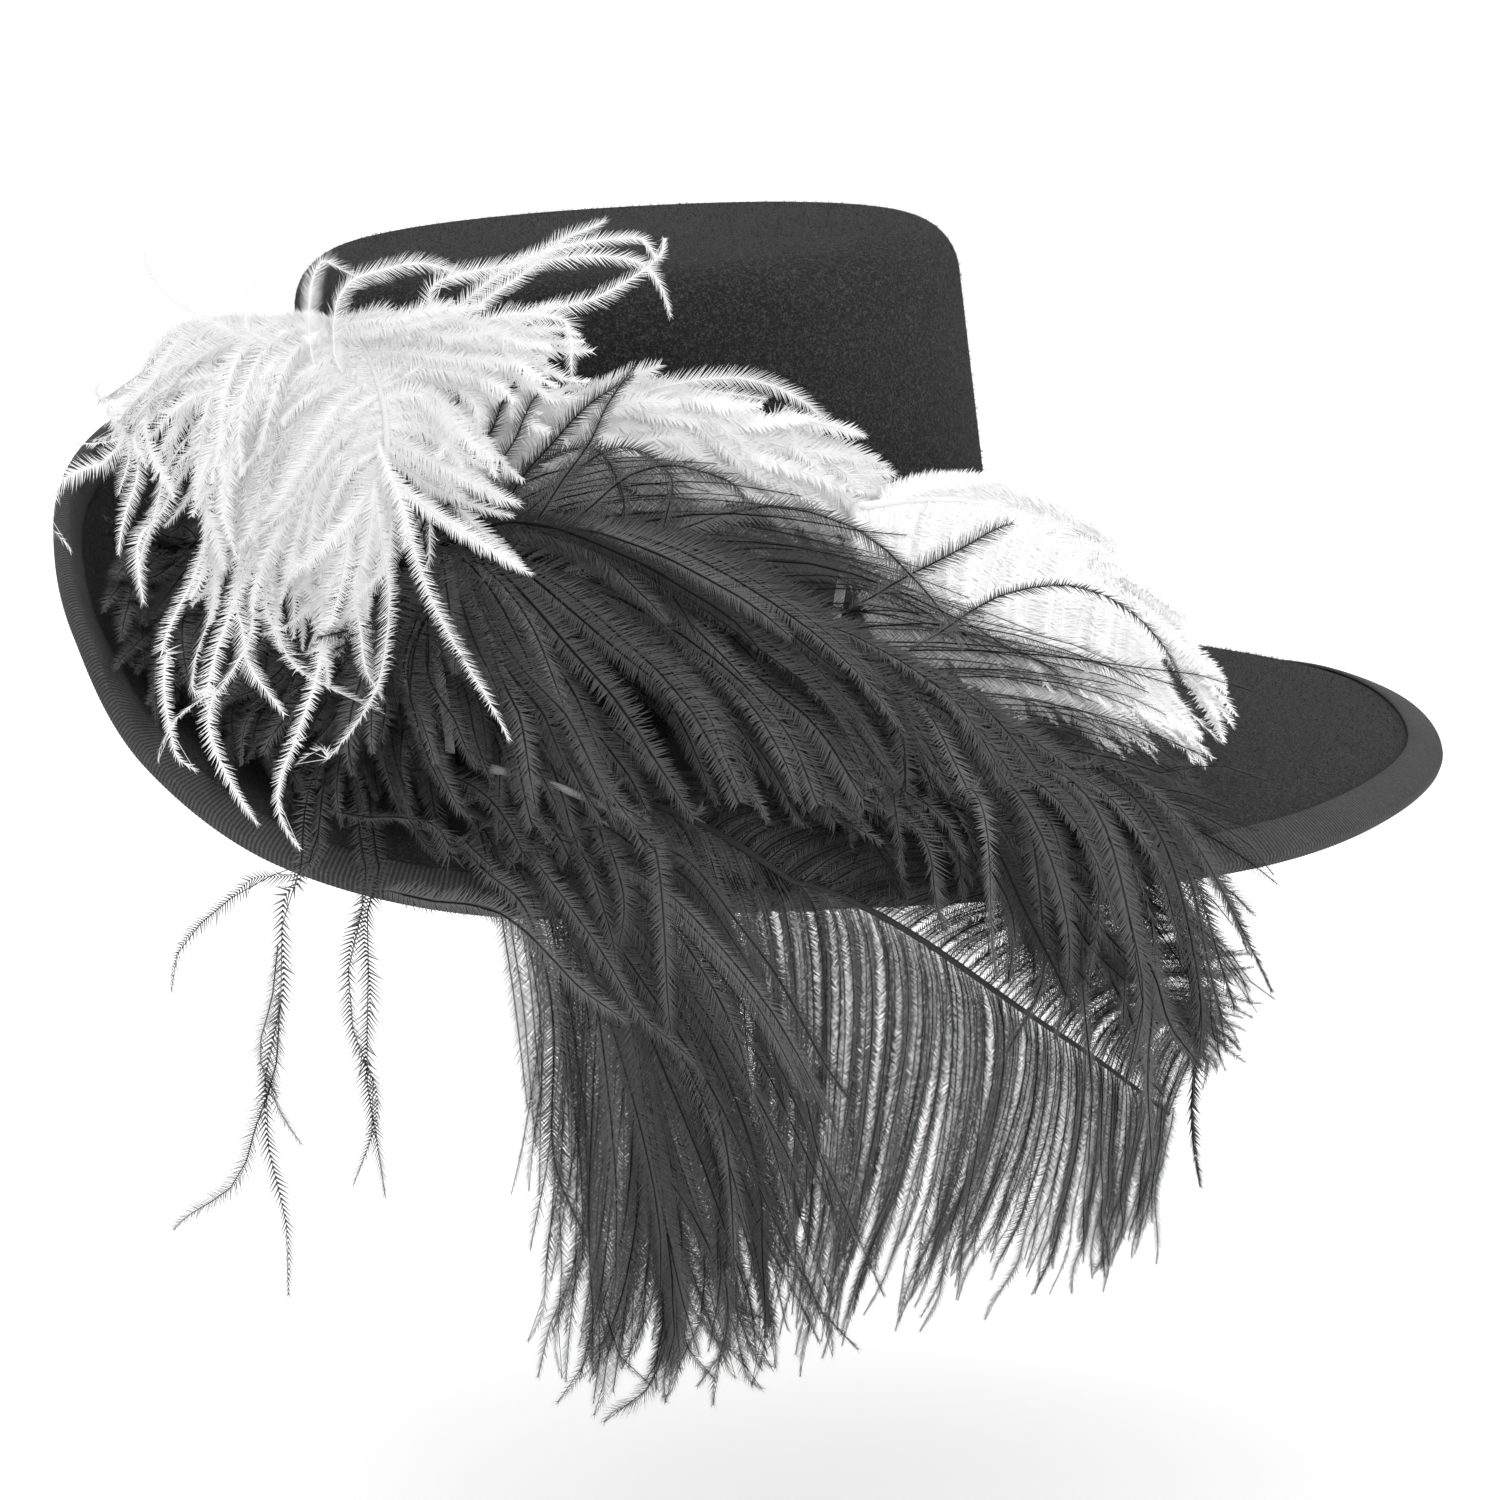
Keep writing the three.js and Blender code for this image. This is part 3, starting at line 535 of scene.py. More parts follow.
# Plumes: each is an ostrich feather, a tapering quill with soft barbs down both sides, and each barb is
# a fine shaft fringed on both sides with barbules. The quills are sewn to the felt near the crown, and
# the plumes lie on each other in layers over a drape that runs down the crown, across the brim and off
# its edge. A place on it is an angle and a reach: -1 is the crown's top, 0 its foot, 1 the brim's edge.
LAYER_SPACING = 0.0034
EDGE_REACH = 1.14
EDGE_SOFTNESS = 0.16
COCKED_LOFT = 0.5
DRAPE_LIFT = 0.036
LAYER_SINK = 0.2  # quills and vanes start this share of a layer lower than the single barbs


def soft_ramp(value, softness):
    """Nothing well before zero and one for one well after it, by half the sum of the value and the
    diagonal over it and the softness."""
    return (value + np.hypot(value, softness)) / 2


def drape_profile(angle, reach, loft):
    """How far out and up the drape is: ramps in reach take it down beside the crown, across the brim and
    down past the edge."""
    up = brim_sizes(angle)[1]
    softness = loft + COCKED_LOFT * np.maximum(up, 0)
    past = soft_ramp(reach - EDGE_REACH, EDGE_SOFTNESS)
    out = soft_ramp(reach, softness) - past
    lift = soft_ramp(-reach, softness) - past + DRAPE_LIFT
    on_out, on_up = brim_profile(angle, np.minimum(out, 1))
    return on_out + np.maximum(out - 1, 0) * BRIM_WIDTH, on_up + lift * CROWN_HEIGHT


def drape(places, loft, height):
    """A point at a height square above each place of the drape, and the direction square to it."""
    step = 0.01
    angle, reach = places[..., 0], places[..., 1]
    out, up = drape_profile(angle, reach, loft)
    out_before, up_before = drape_profile(angle, reach - step, loft)
    out_after, up_after = drape_profile(angle, reach + step, loft)
    size = np.hypot(out_after - out_before, up_after - up_before)
    square_out = -(up_after - up_before) / size
    square_up = (out_after - out_before) / size
    point = place_out(angle, out + height * square_out, up + height * square_up)
    away_x, away_y = outward(angle)
    return point, stacked(away_x * square_out, away_y * square_out, square_up)


def feather_group():
    """A barb's colour: the shaft's along its middle and the fringe's beside it, lighter or darker from one
    barb to the next and mottled along it."""
    group, given, made = new_group(
        "barb colour",
        [("Shaft", "Color"), ("Fringe", "Color"), ("Variation", "Float")],
        [("Color", "Color")],
    )
    nodes, link = group.nodes, group.links.new
    where = nodes.new("ShaderNodeUVMap")
    where.uv_map = "barb"
    apart = nodes.new("ShaderNodeSeparateXYZ")
    link(where.outputs["UV"], apart.inputs["Vector"])
    edge = set_inputs(nodes.new("ShaderNodeMapRange"), {"From Max": 0.12})
    link(apart.outputs["Y"], edge.inputs["Value"])
    blend = nodes.new("ShaderNodeMix")
    blend.data_type = "RGBA"
    link(edge.outputs["Result"], blend.inputs["Factor"])
    link(given.outputs["Shaft"], blend.inputs["A"])
    link(given.outputs["Fringe"], blend.inputs["B"])
    tone = nodes.new("ShaderNodeAttribute")
    tone.attribute_name = "tone"
    scaled = nodes.new("ShaderNodeMath")
    scaled.operation = "MULTIPLY_ADD"
    set_inputs(scaled, {2: 1})
    link(tone.outputs["Fac"], scaled.inputs[0])
    link(given.outputs["Variation"], scaled.inputs[1])
    shade = nodes.new("ShaderNodeVectorMath")
    shade.operation = "SCALE"
    link(blend.outputs["Result"], shade.inputs["Vector"])
    link(scaled.outputs["Value"], shade.inputs["Scale"])
    link(shade.outputs["Vector"], made.inputs["Color"])
    return group


BARB_COLOUR = feather_group()


def feather_material(name, shaft, fringe, variation, roughness, shine, sheen, glow):
    """A principled feather. variation is how far its barbs' tones differ, shine its specular level, and
    glow stands for the light that comes through thin white barbs."""
    material = bpy.data.materials.new(name)
    material.use_nodes = True
    nodes, link = material.node_tree.nodes, material.node_tree.links.new
    shader = set_inputs(nodes["Principled BSDF"], {
        "Roughness": roughness,
        "Sheen Weight": sheen,
        "Specular IOR Level": shine,
    })
    colour = nodes.new("ShaderNodeGroup")
    colour.node_tree = BARB_COLOUR
    set_inputs(colour, {"Shaft": (*shaft, 1), "Fringe": (*fringe, 1), "Variation": variation})
    link(colour.outputs["Color"], shader.inputs["Base Color"])
    if glow:
        link(colour.outputs["Color"], shader.inputs["Emission Color"])
        set_inputs(shader, {"Emission Strength": glow})
    return material


def evenly_spaced(lines, normals, steps):
    """The same lines and the directions square to them, at even distances along each line."""
    lengths = np.linalg.norm(np.diff(lines, axis=1), axis=2)
    along = np.concatenate([np.zeros((len(lines), 1)), np.cumsum(lengths, axis=1)], axis=1)
    along = along / along[:, -1:]
    wanted = np.linspace(0, 1, steps + 1)
    before = (along[:, None, 1:-1] <= wanted[None, :, None]).sum(-1)
    line = np.arange(len(lines))[:, None]
    part = ((wanted - along[line, before]) / (along[line, before + 1] - along[line, before]))[..., None]
    return (lines[line, before] * (1 - part) + lines[line, before + 1] * part,
            unit(normals[line, before] * (1 - part) + normals[line, before + 1] * part))


def join(meshes):
    """One set of arrays from several, each of points, faces, uv and tone."""
    starts = np.cumsum([0] + [len(mesh[0]) for mesh in meshes[:-1]])
    faces = np.concatenate([mesh[1] + start for mesh, start in zip(meshes, starts)])
    return [np.concatenate([mesh[0] for mesh in meshes]), faces,
            np.concatenate([mesh[2] for mesh in meshes]), np.concatenate([mesh[3] for mesh in meshes])]


SHAFT_SHARE = 0.05  # a shaft's radius as a share of the barbules' length
SHAFT_RINGS = 10
SHAFT_SIDES = 3
TWIST = 0.16


def shafts(centre, side, square, broad, tone):
    """A thin shaft along each barb's middle line that tapers to its tip, as points, faces, uv and tone."""
    count, points_along = centre.shape[:2]
    rings = np.linspace(0, points_along - 1, SHAFT_RINGS).astype(int)
    along = np.linspace(0, 1, points_along)[rings]
    radius = broad * SHAFT_SHARE * (1 - 0.6 * along)
    barb, ring = np.meshgrid(np.arange(count), np.arange(SHAFT_RINGS - 1), indexing="ij")
    first = barb * SHAFT_RINGS + ring
    points, faces = [], []
    for turned in range(SHAFT_SIDES):
        turn = 2 * np.pi * turned / SHAFT_SIDES
        spoke = side[:, rings] * np.cos(turn) + square[:, rings] * np.sin(turn)
        ring_points = centre[:, rings] + (spoke + 0.5 * square[:, rings]) * radius[..., None]
        points.append(ring_points.reshape(-1, 3))
        a = first + turned * count * SHAFT_RINGS
        b = first + (turned + 1) % SHAFT_SIDES * count * SHAFT_RINGS
        faces.append(cell_faces(a, b, b + 1, a + 1))
    uv = np.stack([np.tile(along, SHAFT_SIDES * count), np.zeros(SHAFT_SIDES * count * SHAFT_RINGS)], -1)
    tones = np.tile(np.repeat(tone, SHAFT_RINGS), SHAFT_SIDES)
    return np.concatenate(points), np.concatenate(faces), uv, tones


def barb_mesh(lines, normals, width, pitch, fill, rng):
    """Barbs from their middle lines and the directions square to them: each step of a line carries a
    narrow barbule on both sides, leaning to the tip, over the shaft. fill is the share of a step that a
    barbule's foot takes."""
    length = np.median(np.linalg.norm(np.diff(lines, axis=1), axis=2).sum(1))
    teeth = max(int(length / pitch), 12)
    centre, square = evenly_spaced(lines, normals, teeth)
    count, points_along = centre.shape[:2]
    along = np.linspace(0, 1, points_along)
    tangent = unit(np.gradient(centre, axis=1))
    side = unit(np.cross(tangent, square))
    square = np.cross(side, tangent)
    twist = (rng.normal(0, TWIST, (count, 1)) + rng.normal(0, 2 * TWIST, (count, 1)) * along)[..., None]
    cosine, sine = np.cos(twist), np.sin(twist)
    side, square = side * cosine + square * sine, square * cosine - side * sine
    middle = (centre[:, 1:] + centre[:, :-1]) / 2
    part = (along[1:] + along[:-1]) / 2
    broad = np.broadcast_to(width, count)[:, None] * rng.uniform(0.85, 1.15, (count, 1))
    swell = (0.4 + 0.6 * np.minimum(part / 0.1, 1)) * (1 - 0.6 * part**8)
    ragged = np.sin(part * rng.uniform(20, 60, (count, 1)) + rng.uniform(0, 6.3, (count, 1)))
    reach = broad * swell * (1 + 0.08 * ragged) * rng.uniform(0.86, 1.1, (count, teeth))
    lean = 0.72 + 0.5 * part**6 + 0.08 * ragged + rng.normal(0, 0.07, (count, teeth))
    feet = centre[:, :-1] + (centre[:, 1:] - centre[:, :-1]) * fill
    points = [centre.reshape(-1, 3), feet.reshape(-1, 3)]
    for turned in (1, -1):
        raised = rng.normal(0, 0.16, (count, teeth)) + rng.normal(0, 0.25, (count, 1))
        away = side[:, :-1] * (turned * np.cos(lean))[..., None] + tangent[:, :-1] * np.sin(lean)[..., None]
        away = away + square[:, :-1] * raised[..., None]
        points.append((middle + away * reach[..., None]).reshape(-1, 3))
    barb, step = np.meshgrid(np.arange(count), np.arange(teeth), indexing="ij")
    on_line = barb * points_along + step
    foot = count * points_along + barb * teeth + step
    left, right = foot + count * teeth, foot + 2 * count * teeth
    faces = [triangles(foot, on_line, left), triangles(on_line, foot, right)]
    along_feet = np.tile(part, count)
    uv = [np.stack([np.tile(along, count), np.zeros(count * points_along)], -1),
          np.stack([along_feet, np.zeros(count * teeth)], -1),
          np.tile(np.stack([along_feet, np.ones(count * teeth)], -1), (2, 1))]
    tone = rng.normal(0, 1, count)
    tones = [np.repeat(tone, points_along), np.tile(np.repeat(tone, teeth), 3)]
    fringe = [np.concatenate(arrays) for arrays in (points, faces, uv, tones)]
    return join([fringe, shafts(centre, side, square, broad, tone)])


def quadratic(start, middle, tip, part):
    """The curve through start, middle and tip at parts 0, a half and 1."""
    return (start * (1 - part) * (1 - 2 * part) + middle * 4 * part * (1 - part)
            + tip * part * (2 * part - 1))


def bunched(rng, along, bunches):
    """Smooth random values along a quill, nearly the same for neighbouring barbs."""
    return np.interp(along * bunches, np.arange(bunches + 2), rng.normal(0, 1, bunches + 2))


LINE_POINTS = 48
REACH_LIMITS = (-0.92, 2.2)
CRIMP = 0.22
BUNCHES = 14
STRAY_LIMIT = 1.7  # the largest random draw for a barb's places, and below it the one for its curl
CURL_LIMIT = 1.4
DEGREES_AND_REACH = np.array([2.0, 0.03])  # one unit of scatter, about 5 mm either way
CURL_SIZE = np.array([5, 0.05])  # the same for the curl of a barb's end
LEAST_HEIGHT = 0.0012  # above the drape


def vane_barbs(plume, vane, rng):
    """Middle lines of the barbs of one side: each leaves the quill, bends through its middle place and
    ends near its tip place, a little apart from its neighbours and above or below them."""
    rows = np.array(vane["barbs"])
    count = vane["count"]
    cells = np.arange(count) + rng.uniform(0.2, 0.8, count)
    along = rows[0, 0] + (rows[-1, 0] - rows[0, 0]) * cells / count
    start = even_table(plume["spine"], along)
    guides = smooth_table(rows[:, 0], rows[:, 1:], along)
    spread = DEGREES_AND_REACH * plume["spread"] * vane.get("spread", 1)
    bunch = np.stack([bunched(rng, along, BUNCHES), bunched(rng, along, BUNCHES)], -1)
    stray = np.clip(rng.normal(0, 1, (2, count, 2)), -STRAY_LIMIT, STRAY_LIMIT)
    middle = guides[:, :2] + spread * (0.5 * stray[0] + 0.5 * bunch)
    tip = guides[:, 2:] + spread * (1.1 * stray[1] + 1.1 * bunch)
    part = np.linspace(0, 1, LINE_POINTS) * rng.uniform(*vane.get("lengths", (0.78, 1.04)), (count, 1))
    place = quadratic(start[:, None], middle[:, None], tip[:, None], part[..., None])
    curl = CURL_SIZE * plume["curl"] * np.clip(rng.normal(0, 1, (count, 2)), -CURL_LIMIT, CURL_LIMIT)
    place = place + curl[:, None] * part[..., None] ** 3
    wave = np.sin(part * rng.uniform(3, 8, (count, 1)) + rng.uniform(0, 6.3, (count, 1)))
    place[..., 1] += 0.012 * plume["spread"] * wave * part
    turns, phase = rng.uniform(14, 26, (count, 1, 2)), rng.uniform(0, 6.3, (count, 1, 2))
    crimp = np.sin(part[..., None] * turns + phase) * part[..., None] ** 4
    place = place + DEGREES_AND_REACH * plume.get("crimp", CRIMP) * crimp
    place[..., 1] = np.clip(place[..., 1], *REACH_LIMITS)
    rise = vane.get("rise", 0) * np.minimum(part * 4, 1)
    puff = part * rng.uniform(-0.5, 1.0, (count, 1)) + 0.6 * part**2 * rng.normal(0, 1, (count, 1))
    height = (plume["layer"] - LAYER_SINK) * LAYER_SPACING + rise + plume["puff"] * puff
    return drape(place, plume["loft"], np.maximum(height, LEAST_HEIGHT))


TIP_RISE = 0.004
STRAND_WAVE = 0.15  # in units of scatter


def strand_barbs(plume, rng):
    """Middle lines of the single barbs that stray from the plume, each through its own few places."""
    lines, normals = [], []
    part = np.linspace(0, 1, LINE_POINTS)
    for places in plume["strands"]:
        place = even_table(places, part)
        place = place + DEGREES_AND_REACH * STRAND_WAVE * np.sin(part[:, None] * rng.uniform(9, 16, 2))
        height = plume["layer"] * LAYER_SPACING + plume["stray"] * np.sin(np.pi * part) ** 0.5
        height = height + rng.uniform(0, TIP_RISE) * part
        point, normal = drape(place, plume["loft"], height)
        lines.append(point)
        normals.append(normal)
    return np.stack(lines), np.stack(normals)


QUILL_BLEND = 0.05  # a quill's colour lies between the shafts' and the fringe's
QUILL_SIDES = 10
QUILL_STAND = 0.007
QUILL_RADII = (0.0015, 0.0005)
QUILL_TONES = {"white": -6, "black": 0}
BARE_HEIGHT = 0.016
BARE_RADII = (0.0013, 0.0009)
BARE_TONE = 18


def quill_mesh(path, radii, tone):
    """A round quill along a path: rings square to it, tapering from one radius to the other, closed at
    both ends."""
    sides = QUILL_SIDES
    tangent = unit(np.gradient(path, axis=0))
    side = unit(np.cross(tangent, (0.3, 0.9, 0.1)))
    square = np.cross(tangent, side)
    radius = np.linspace(*radii, len(path))[:, None, None]
    turn = 2 * np.pi * np.arange(sides) / sides
    spokes = side[:, None] * np.cos(turn)[:, None] + square[:, None] * np.sin(turn)[:, None]
    points = np.concatenate([(path[:, None] + spokes * radius).reshape(-1, 3), path[:1], path[-1:]])
    ring, spot = np.meshgrid(np.arange(len(path) - 1), np.arange(sides), indexing="ij")
    a = ring * sides + spot
    b = ring * sides + (spot + 1) % sides
    spot = np.arange(sides)
    after = (spot + 1) % sides
    first_pole, last_pole = len(points) - 2, len(points) - 1
    last_ring = (len(path) - 1) * sides
    faces = [cell_faces(a, b, b + sides, a + sides), triangles(first_pole, after, spot),
             triangles(last_pole, last_ring + spot, last_ring + after)]
    along = np.concatenate([np.repeat(np.linspace(0, 1, len(path)), sides), [0, 1]])
    uv = np.stack([along, np.full(len(points), QUILL_BLEND)], -1)
    return points, np.concatenate(faces), uv, np.full(len(points), float(tone))


def plume_quill(plume):
    """The quill stands on the felt at its root and follows the plume's spine from there."""
    height = (plume["layer"] - LAYER_SINK) * LAYER_SPACING
    path, _ = drape(even_table(plume["spine"], np.linspace(0, 1, 60)), plume["loft"], height)
    angle, out = plume["root"]
    foot_out, foot_up = brim_profile(angle, out)
    foot = place_out(angle, foot_out, foot_up + np.array([2 * RIBBON_GAP, QUILL_STAND]))
    points = np.concatenate([foot, path])
    knots = np.linalg.norm(np.diff(points, axis=0), axis=1) ** 0.5
    knots = np.concatenate([[0], np.cumsum(knots)])
    tone = QUILL_TONES[plume["colour"]]
    return quill_mesh(smooth_table(knots, points, np.linspace(0, knots[-1], 110)), QUILL_RADII, tone)


def bare_quill(plume):
    """The pale cut end of a quill that shows between the barbs."""
    path, _ = drape(even_table(plume["bare"], np.linspace(0, 1, 20)), plume["loft"], BARE_HEIGHT)
    return quill_mesh(path, BARE_RADII, BARE_TONE)


# Each spine row is an angle and a reach. Each row of a vane's barbs is how far along the quill it is, the
# angle and reach of a barb's middle there, and those of its tip. A strand is a row of angles and reaches.
# root is the angle and the share of the brim where the quill stands on the felt, and loft the reach over
# which the drape rounds off the corner between crown and brim.
PLUMES = [{
    "place": "side", "colour": "white", "layer": 1, "loft": 0.42,
    "root": (241, 0.08), "spread": 1.1, "puff": 0.010,
    "width": 0.0046, "curl": 0.8, "pitch": 0.0005, "fill": 1.7,
    "stray": 0.006, "stray_width": 0.0046, "stray_pitch": 0.0005, "stray_fill": 0.95,
    "spine": [(239, -0.35), (255, -0.61), (271, -0.67), (286, -0.59), (300, -0.43), (311, -0.23)],
    "vanes": [
        {"count": 120, "barbs": [
            (0.0, 247, -0.58, 258, -0.63), (0.08, 252, -0.63, 264, -0.66), (0.35, 270, -0.64, 282, -0.57),
            (0.6, 285, -0.56, 295, -0.43), (0.8, 298, -0.4, 304, -0.3), (1, 311, -0.2, 313, -0.1)]},
        {"count": 130, "barbs": [
            (0.0, 248, -0.42, 259, -0.3), (0.08, 255, -0.55, 268, -0.4), (0.35, 273, -0.57, 287, -0.33),
            (0.6, 290, -0.49, 302, -0.2), (0.8, 303, -0.33, 309, -0.07), (1, 314, -0.17, 316, 0.03)]},
    ],
    "strands": [
        [(255, -0.61), (262, -0.58), (269, -0.65), (276, -0.69), (283, -0.69), (290, -0.63), (296, -0.55)],
        [(255, -0.61), (262, -0.57), (271, -0.65), (277, -0.67), (287, -0.63)],
        [(286, -0.3), (290, -0.35), (290, -0.47), (290, -0.61)],
        [(262, -0.6), (271, -0.55), (279, -0.57), (288, -0.43), (294, -0.25), (298, -0.09)],
        [(258, -0.55), (267, -0.55), (277, -0.55), (286, -0.45), (292, -0.33), (296, -0.11)],
    ],
}, {
    "place": "back", "colour": "white", "layer": 2, "loft": 0.6,
    "root": (292, 0.12), "spread": 0.35, "puff": 0.004,
    "width": 0.0042, "curl": 0.1, "pitch": 0.0006, "fill": 1.7,
    # tone makes every barb of this plume lighter: painted light for the backlight that shines through it
    "crimp": 0.03, "tone": 5,
    "spine": [(296, -0.25), (307, -0.25), (317, -0.19), (324, -0.01), (326, 0.21), (321, 0.49)],
    "vanes": [
        {"count": 150, "lengths": (0.93, 1.02), "barbs": [
            (0.0, 295, -0.03, 293, 0.25), (0.06, 297, -0.03, 294, 0.29), (0.35, 305, 0.11, 300, 0.55),
            (0.6, 311, 0.31, 306, 0.71), (0.8, 314, 0.5, 312, 0.78), (1, 318, 0.62, 316, 0.82)]},
        {"count": 130, "spread": 0.4, "lengths": (0.93, 1.02), "barbs": [
            (0.06, 303, -0.29, 312, -0.29), (0.2, 313, -0.27, 322, -0.21), (0.5, 329, -0.11, 333, 0.05),
            (0.8, 329, 0.21, 325, 0.52), (1, 323, 0.52, 319, 0.78)]},
    ],
}, {
    "place": "front", "colour": "white", "layer": 4, "loft": 0.75,
    "root": (236, 0.14), "spread": 1.6, "puff": 0.012,
    "width": 0.0046, "curl": 1.2, "pitch": 0.00043, "fill": 1.5,
    "stray": 0.005, "stray_width": 0.0046, "stray_pitch": 0.00048, "stray_fill": 0.95,
    "spine": [(241, -0.2), (241, -0.46), (239, -0.62), (236, -0.71), (232, -0.7), (228, -0.61)],
    "vanes": [
        {"count": 130, "spread": 1.2, "lengths": (0.6, 1.0), "barbs": [
            (0.05, 242, 0.1, 246, 0.55), (0.2, 234, -0.16, 240, 0.6), (0.4, 229, -0.26, 235, 0.62),
            (0.6, 222, -0.38, 230, 0.58), (0.8, 216, -0.4, 223, 0.5), (1, 208, -0.3, 214, 0.5)]},
        {"count": 90, "spread": 0.4, "barbs": [
            (0.1, 244, -0.2, 249, 0.05), (0.3, 250, -0.56, 257, -0.4), (0.5, 250, -0.66, 258, -0.56),
            (0.7, 247, -0.73, 254, -0.68), (0.85, 239, -0.73, 247, -0.73), (1, 225, -0.66, 220, -0.66)]},
    ],
    "strands": [
        [(235, -0.6), (234, -0.67), (235, -0.77), (237, -0.85), (241, -0.87), (247, -0.89), (253, -0.85)],
        [(231, -0.6), (231, -0.69), (232, -0.79), (233, -0.87), (234, -0.89), (238, -0.85)],
        [(241, -0.6), (247, -0.73), (248, -0.83), (255, -0.87), (262, -0.89), (267, -0.89), (272, -0.85),
         (274, -0.73)],
        [(243, -0.62), (249, -0.75), (256, -0.85), (263, -0.91), (269, -0.93), (272, -0.92), (273, -0.87),
         (274, -0.92)],
        [(245, -0.64), (252, -0.75), (258, -0.85), (264, -0.93), (268, -0.97)],
        [(245, -0.6), (253, -0.67), (260, -0.75), (267, -0.79), (272, -0.85), (274, -0.91)],
        [(243, -0.6), (248, -0.67), (256, -0.75), (262, -0.75), (264, -0.69), (264, -0.59)],
        [(240, -0.43), (244, -0.23), (247, -0.01), (251, 0.29), (256, 0.61), (259, 0.75)],
        [(240, -0.31), (241, 0.01), (242, 0.25), (245, 0.51), (248, 0.65)],
        [(240, -0.31), (243, -0.01), (246, 0.27), (248, 0.61), (247, 0.79), (244, 0.97)],
        [(237, -0.23), (239, 0.11), (241, 0.45), (243, 0.71), (243, 0.89), (244, 1.07), (246, 1.15)],
        [(231, -0.29), (231, 0.13), (234, 0.43), (239, 0.63), (244, 0.69), (248, 0.69)],
        [(230, -0.39), (230, 0.23), (234, 0.71), (237, 0.97), (241, 1.09), (243, 1.13)],
        [(228, -0.25), (231, 0.43), (236, 0.69), (241, 0.79)],
        [(227, -0.35), (227, 0.27), (232, 0.71), (236, 0.93)],
        [(231, -0.25), (232, 0.31), (236, 0.69), (236, 0.97), (235, 1.11)],
        [(226, -0.37), (225, 0.29), (230, 0.73), (233, 0.97), (236, 1.07), (238, 1.09)],
        [(224, -0.45), (217, -0.05), (221, 0.59), (226, 0.77)],
        [(225, -0.49), (217, -0.21), (218, 0.39), (225, 0.75)],
        [(224, -0.51), (214, -0.27), (213, 0.37), (222, 0.77)],
        [(222, -0.53), (211, -0.29), (209, 0.25), (216, 0.67)],
        [(222, -0.53), (206, -0.13), (212, 0.79), (217, 0.95)],
        [(221, -0.49), (205, 0.09), (215, 0.81), (220, 0.89)],
        [(226, -0.62), (218, -0.63), (211, -0.63), (206, -0.69), (203, -0.75)],
        [(228, -0.65), (223, -0.65), (222, -0.73), (222, -0.77)],
    ],
}, {
    "place": "brim", "colour": "black", "layer": 1, "loft": 0.3,
    "root": (232, 0.12), "spread": 0.9, "puff": 0.005,
    "width": 0.0052, "curl": 0.6, "pitch": 0.00055, "fill": 1.3,
    "stray": 0.004, "stray_width": 0.0044, "stray_pitch": 0.0008, "stray_fill": 0.6,
    "spine": [(232, -0.2), (223, -0.28), (212, -0.26), (200, -0.16), (190, 0.08)],
    "vanes": [
        {"count": 140, "barbs": [
            (0.0, 238, 0.15, 249, 0.85), (0.05, 237, 0.15, 248, 0.88), (0.2, 231, 0.17, 243, 0.9),
            (0.4, 222, 0.13, 236, 0.88), (0.6, 213, 0.2, 230, 0.88), (0.8, 204, 0.31, 223, 0.86),
            (1, 194, 0.41, 217, 0.85)]},
        {"count": 60, "barbs": [
            (0.2, 220, -0.5, 211, -0.6), (0.5, 205, -0.42, 194, -0.42), (0.8, 189, -0.12, 184, 0.2),
            (1, 190, 0.35, 200, 0.7)]},
    ],
    "strands": [
        [(238, 0.6), (243, 1.09), (243, 1.19), (243, 1.37), (241, 1.55), (241, 1.69), (242, 1.87),
         (241, 2.05)],
        [(242, 1.3), (241, 1.55), (242, 1.63), (243, 1.71)],
        [(242, 1.4), (241, 1.65), (238, 1.83), (232, 2.05)],
        [(240, 0.7), (244, 1.09), (240, 1.19), (236, 1.33), (233, 1.53)],
        [(243, 0.7), (248, 1.09), (248, 1.27), (248, 1.43), (249, 1.57), (247, 1.77)],
        [(244, 0.7), (249, 1.07), (249, 1.23), (249, 1.37), (249, 1.55), (249, 1.77)],
        [(222, -0.3), (206, -0.27), (201, -0.33), (197, -0.37)],
        [(222, -0.28), (214, -0.15), (200, 0.03), (197, 0.4)],
    ],
}, {
    "place": "lower", "colour": "black", "layer": 1, "loft": 0.3,
    "root": (246, 0.22), "spread": 0.3, "puff": 0.003,
    "width": 0.0031, "curl": 0.2, "pitch": 0.00045, "fill": 0.78,
    "spine": [(249, 0.34), (261, 0.58), (272, 0.83), (280, 1.02), (287, 1.19), (294, 1.37), (300, 1.51),
              (305, 1.64)],
    "vanes": [
        {"count": 180, "lengths": (0.84, 1.04), "barbs": [
            (0.1, 265, 0.93, 265, 1.23), (0.3, 275, 1.25, 274, 1.95), (0.45, 281, 1.43, 277, 2.05),
            (0.6, 288, 1.55, 283, 2.01), (0.75, 295, 1.65, 290, 2.01), (0.88, 300, 1.69, 298, 1.95),
            (1, 305, 1.67, 302, 1.95)]},
        {"count": 160, "lengths": (0.84, 1.04), "barbs": [
            (0.1, 266, 0.57, 273, 0.71), (0.3, 278, 0.81, 287, 0.87), (0.45, 288, 0.97, 297, 1.01),
            (0.6, 294, 1.15, 303, 1.15), (0.75, 301, 1.31, 310, 1.31), (0.88, 305, 1.41, 311, 1.49),
            (1, 307, 1.51, 307, 1.59)]},
    ],
}, {
    "place": "drop", "colour": "black", "layer": 2, "loft": 0.4,
    "root": (245, 0.55), "spread": 1, "puff": 0.006,
    "width": 0.0050, "curl": 0.35, "pitch": 0.0005, "fill": 0.8,
    "stray": 0.008, "stray_width": 0.0050, "stray_pitch": 0.00055, "stray_fill": 1,
    "bare": [(257, 0.8), (262, 0.84), (268, 0.92)],
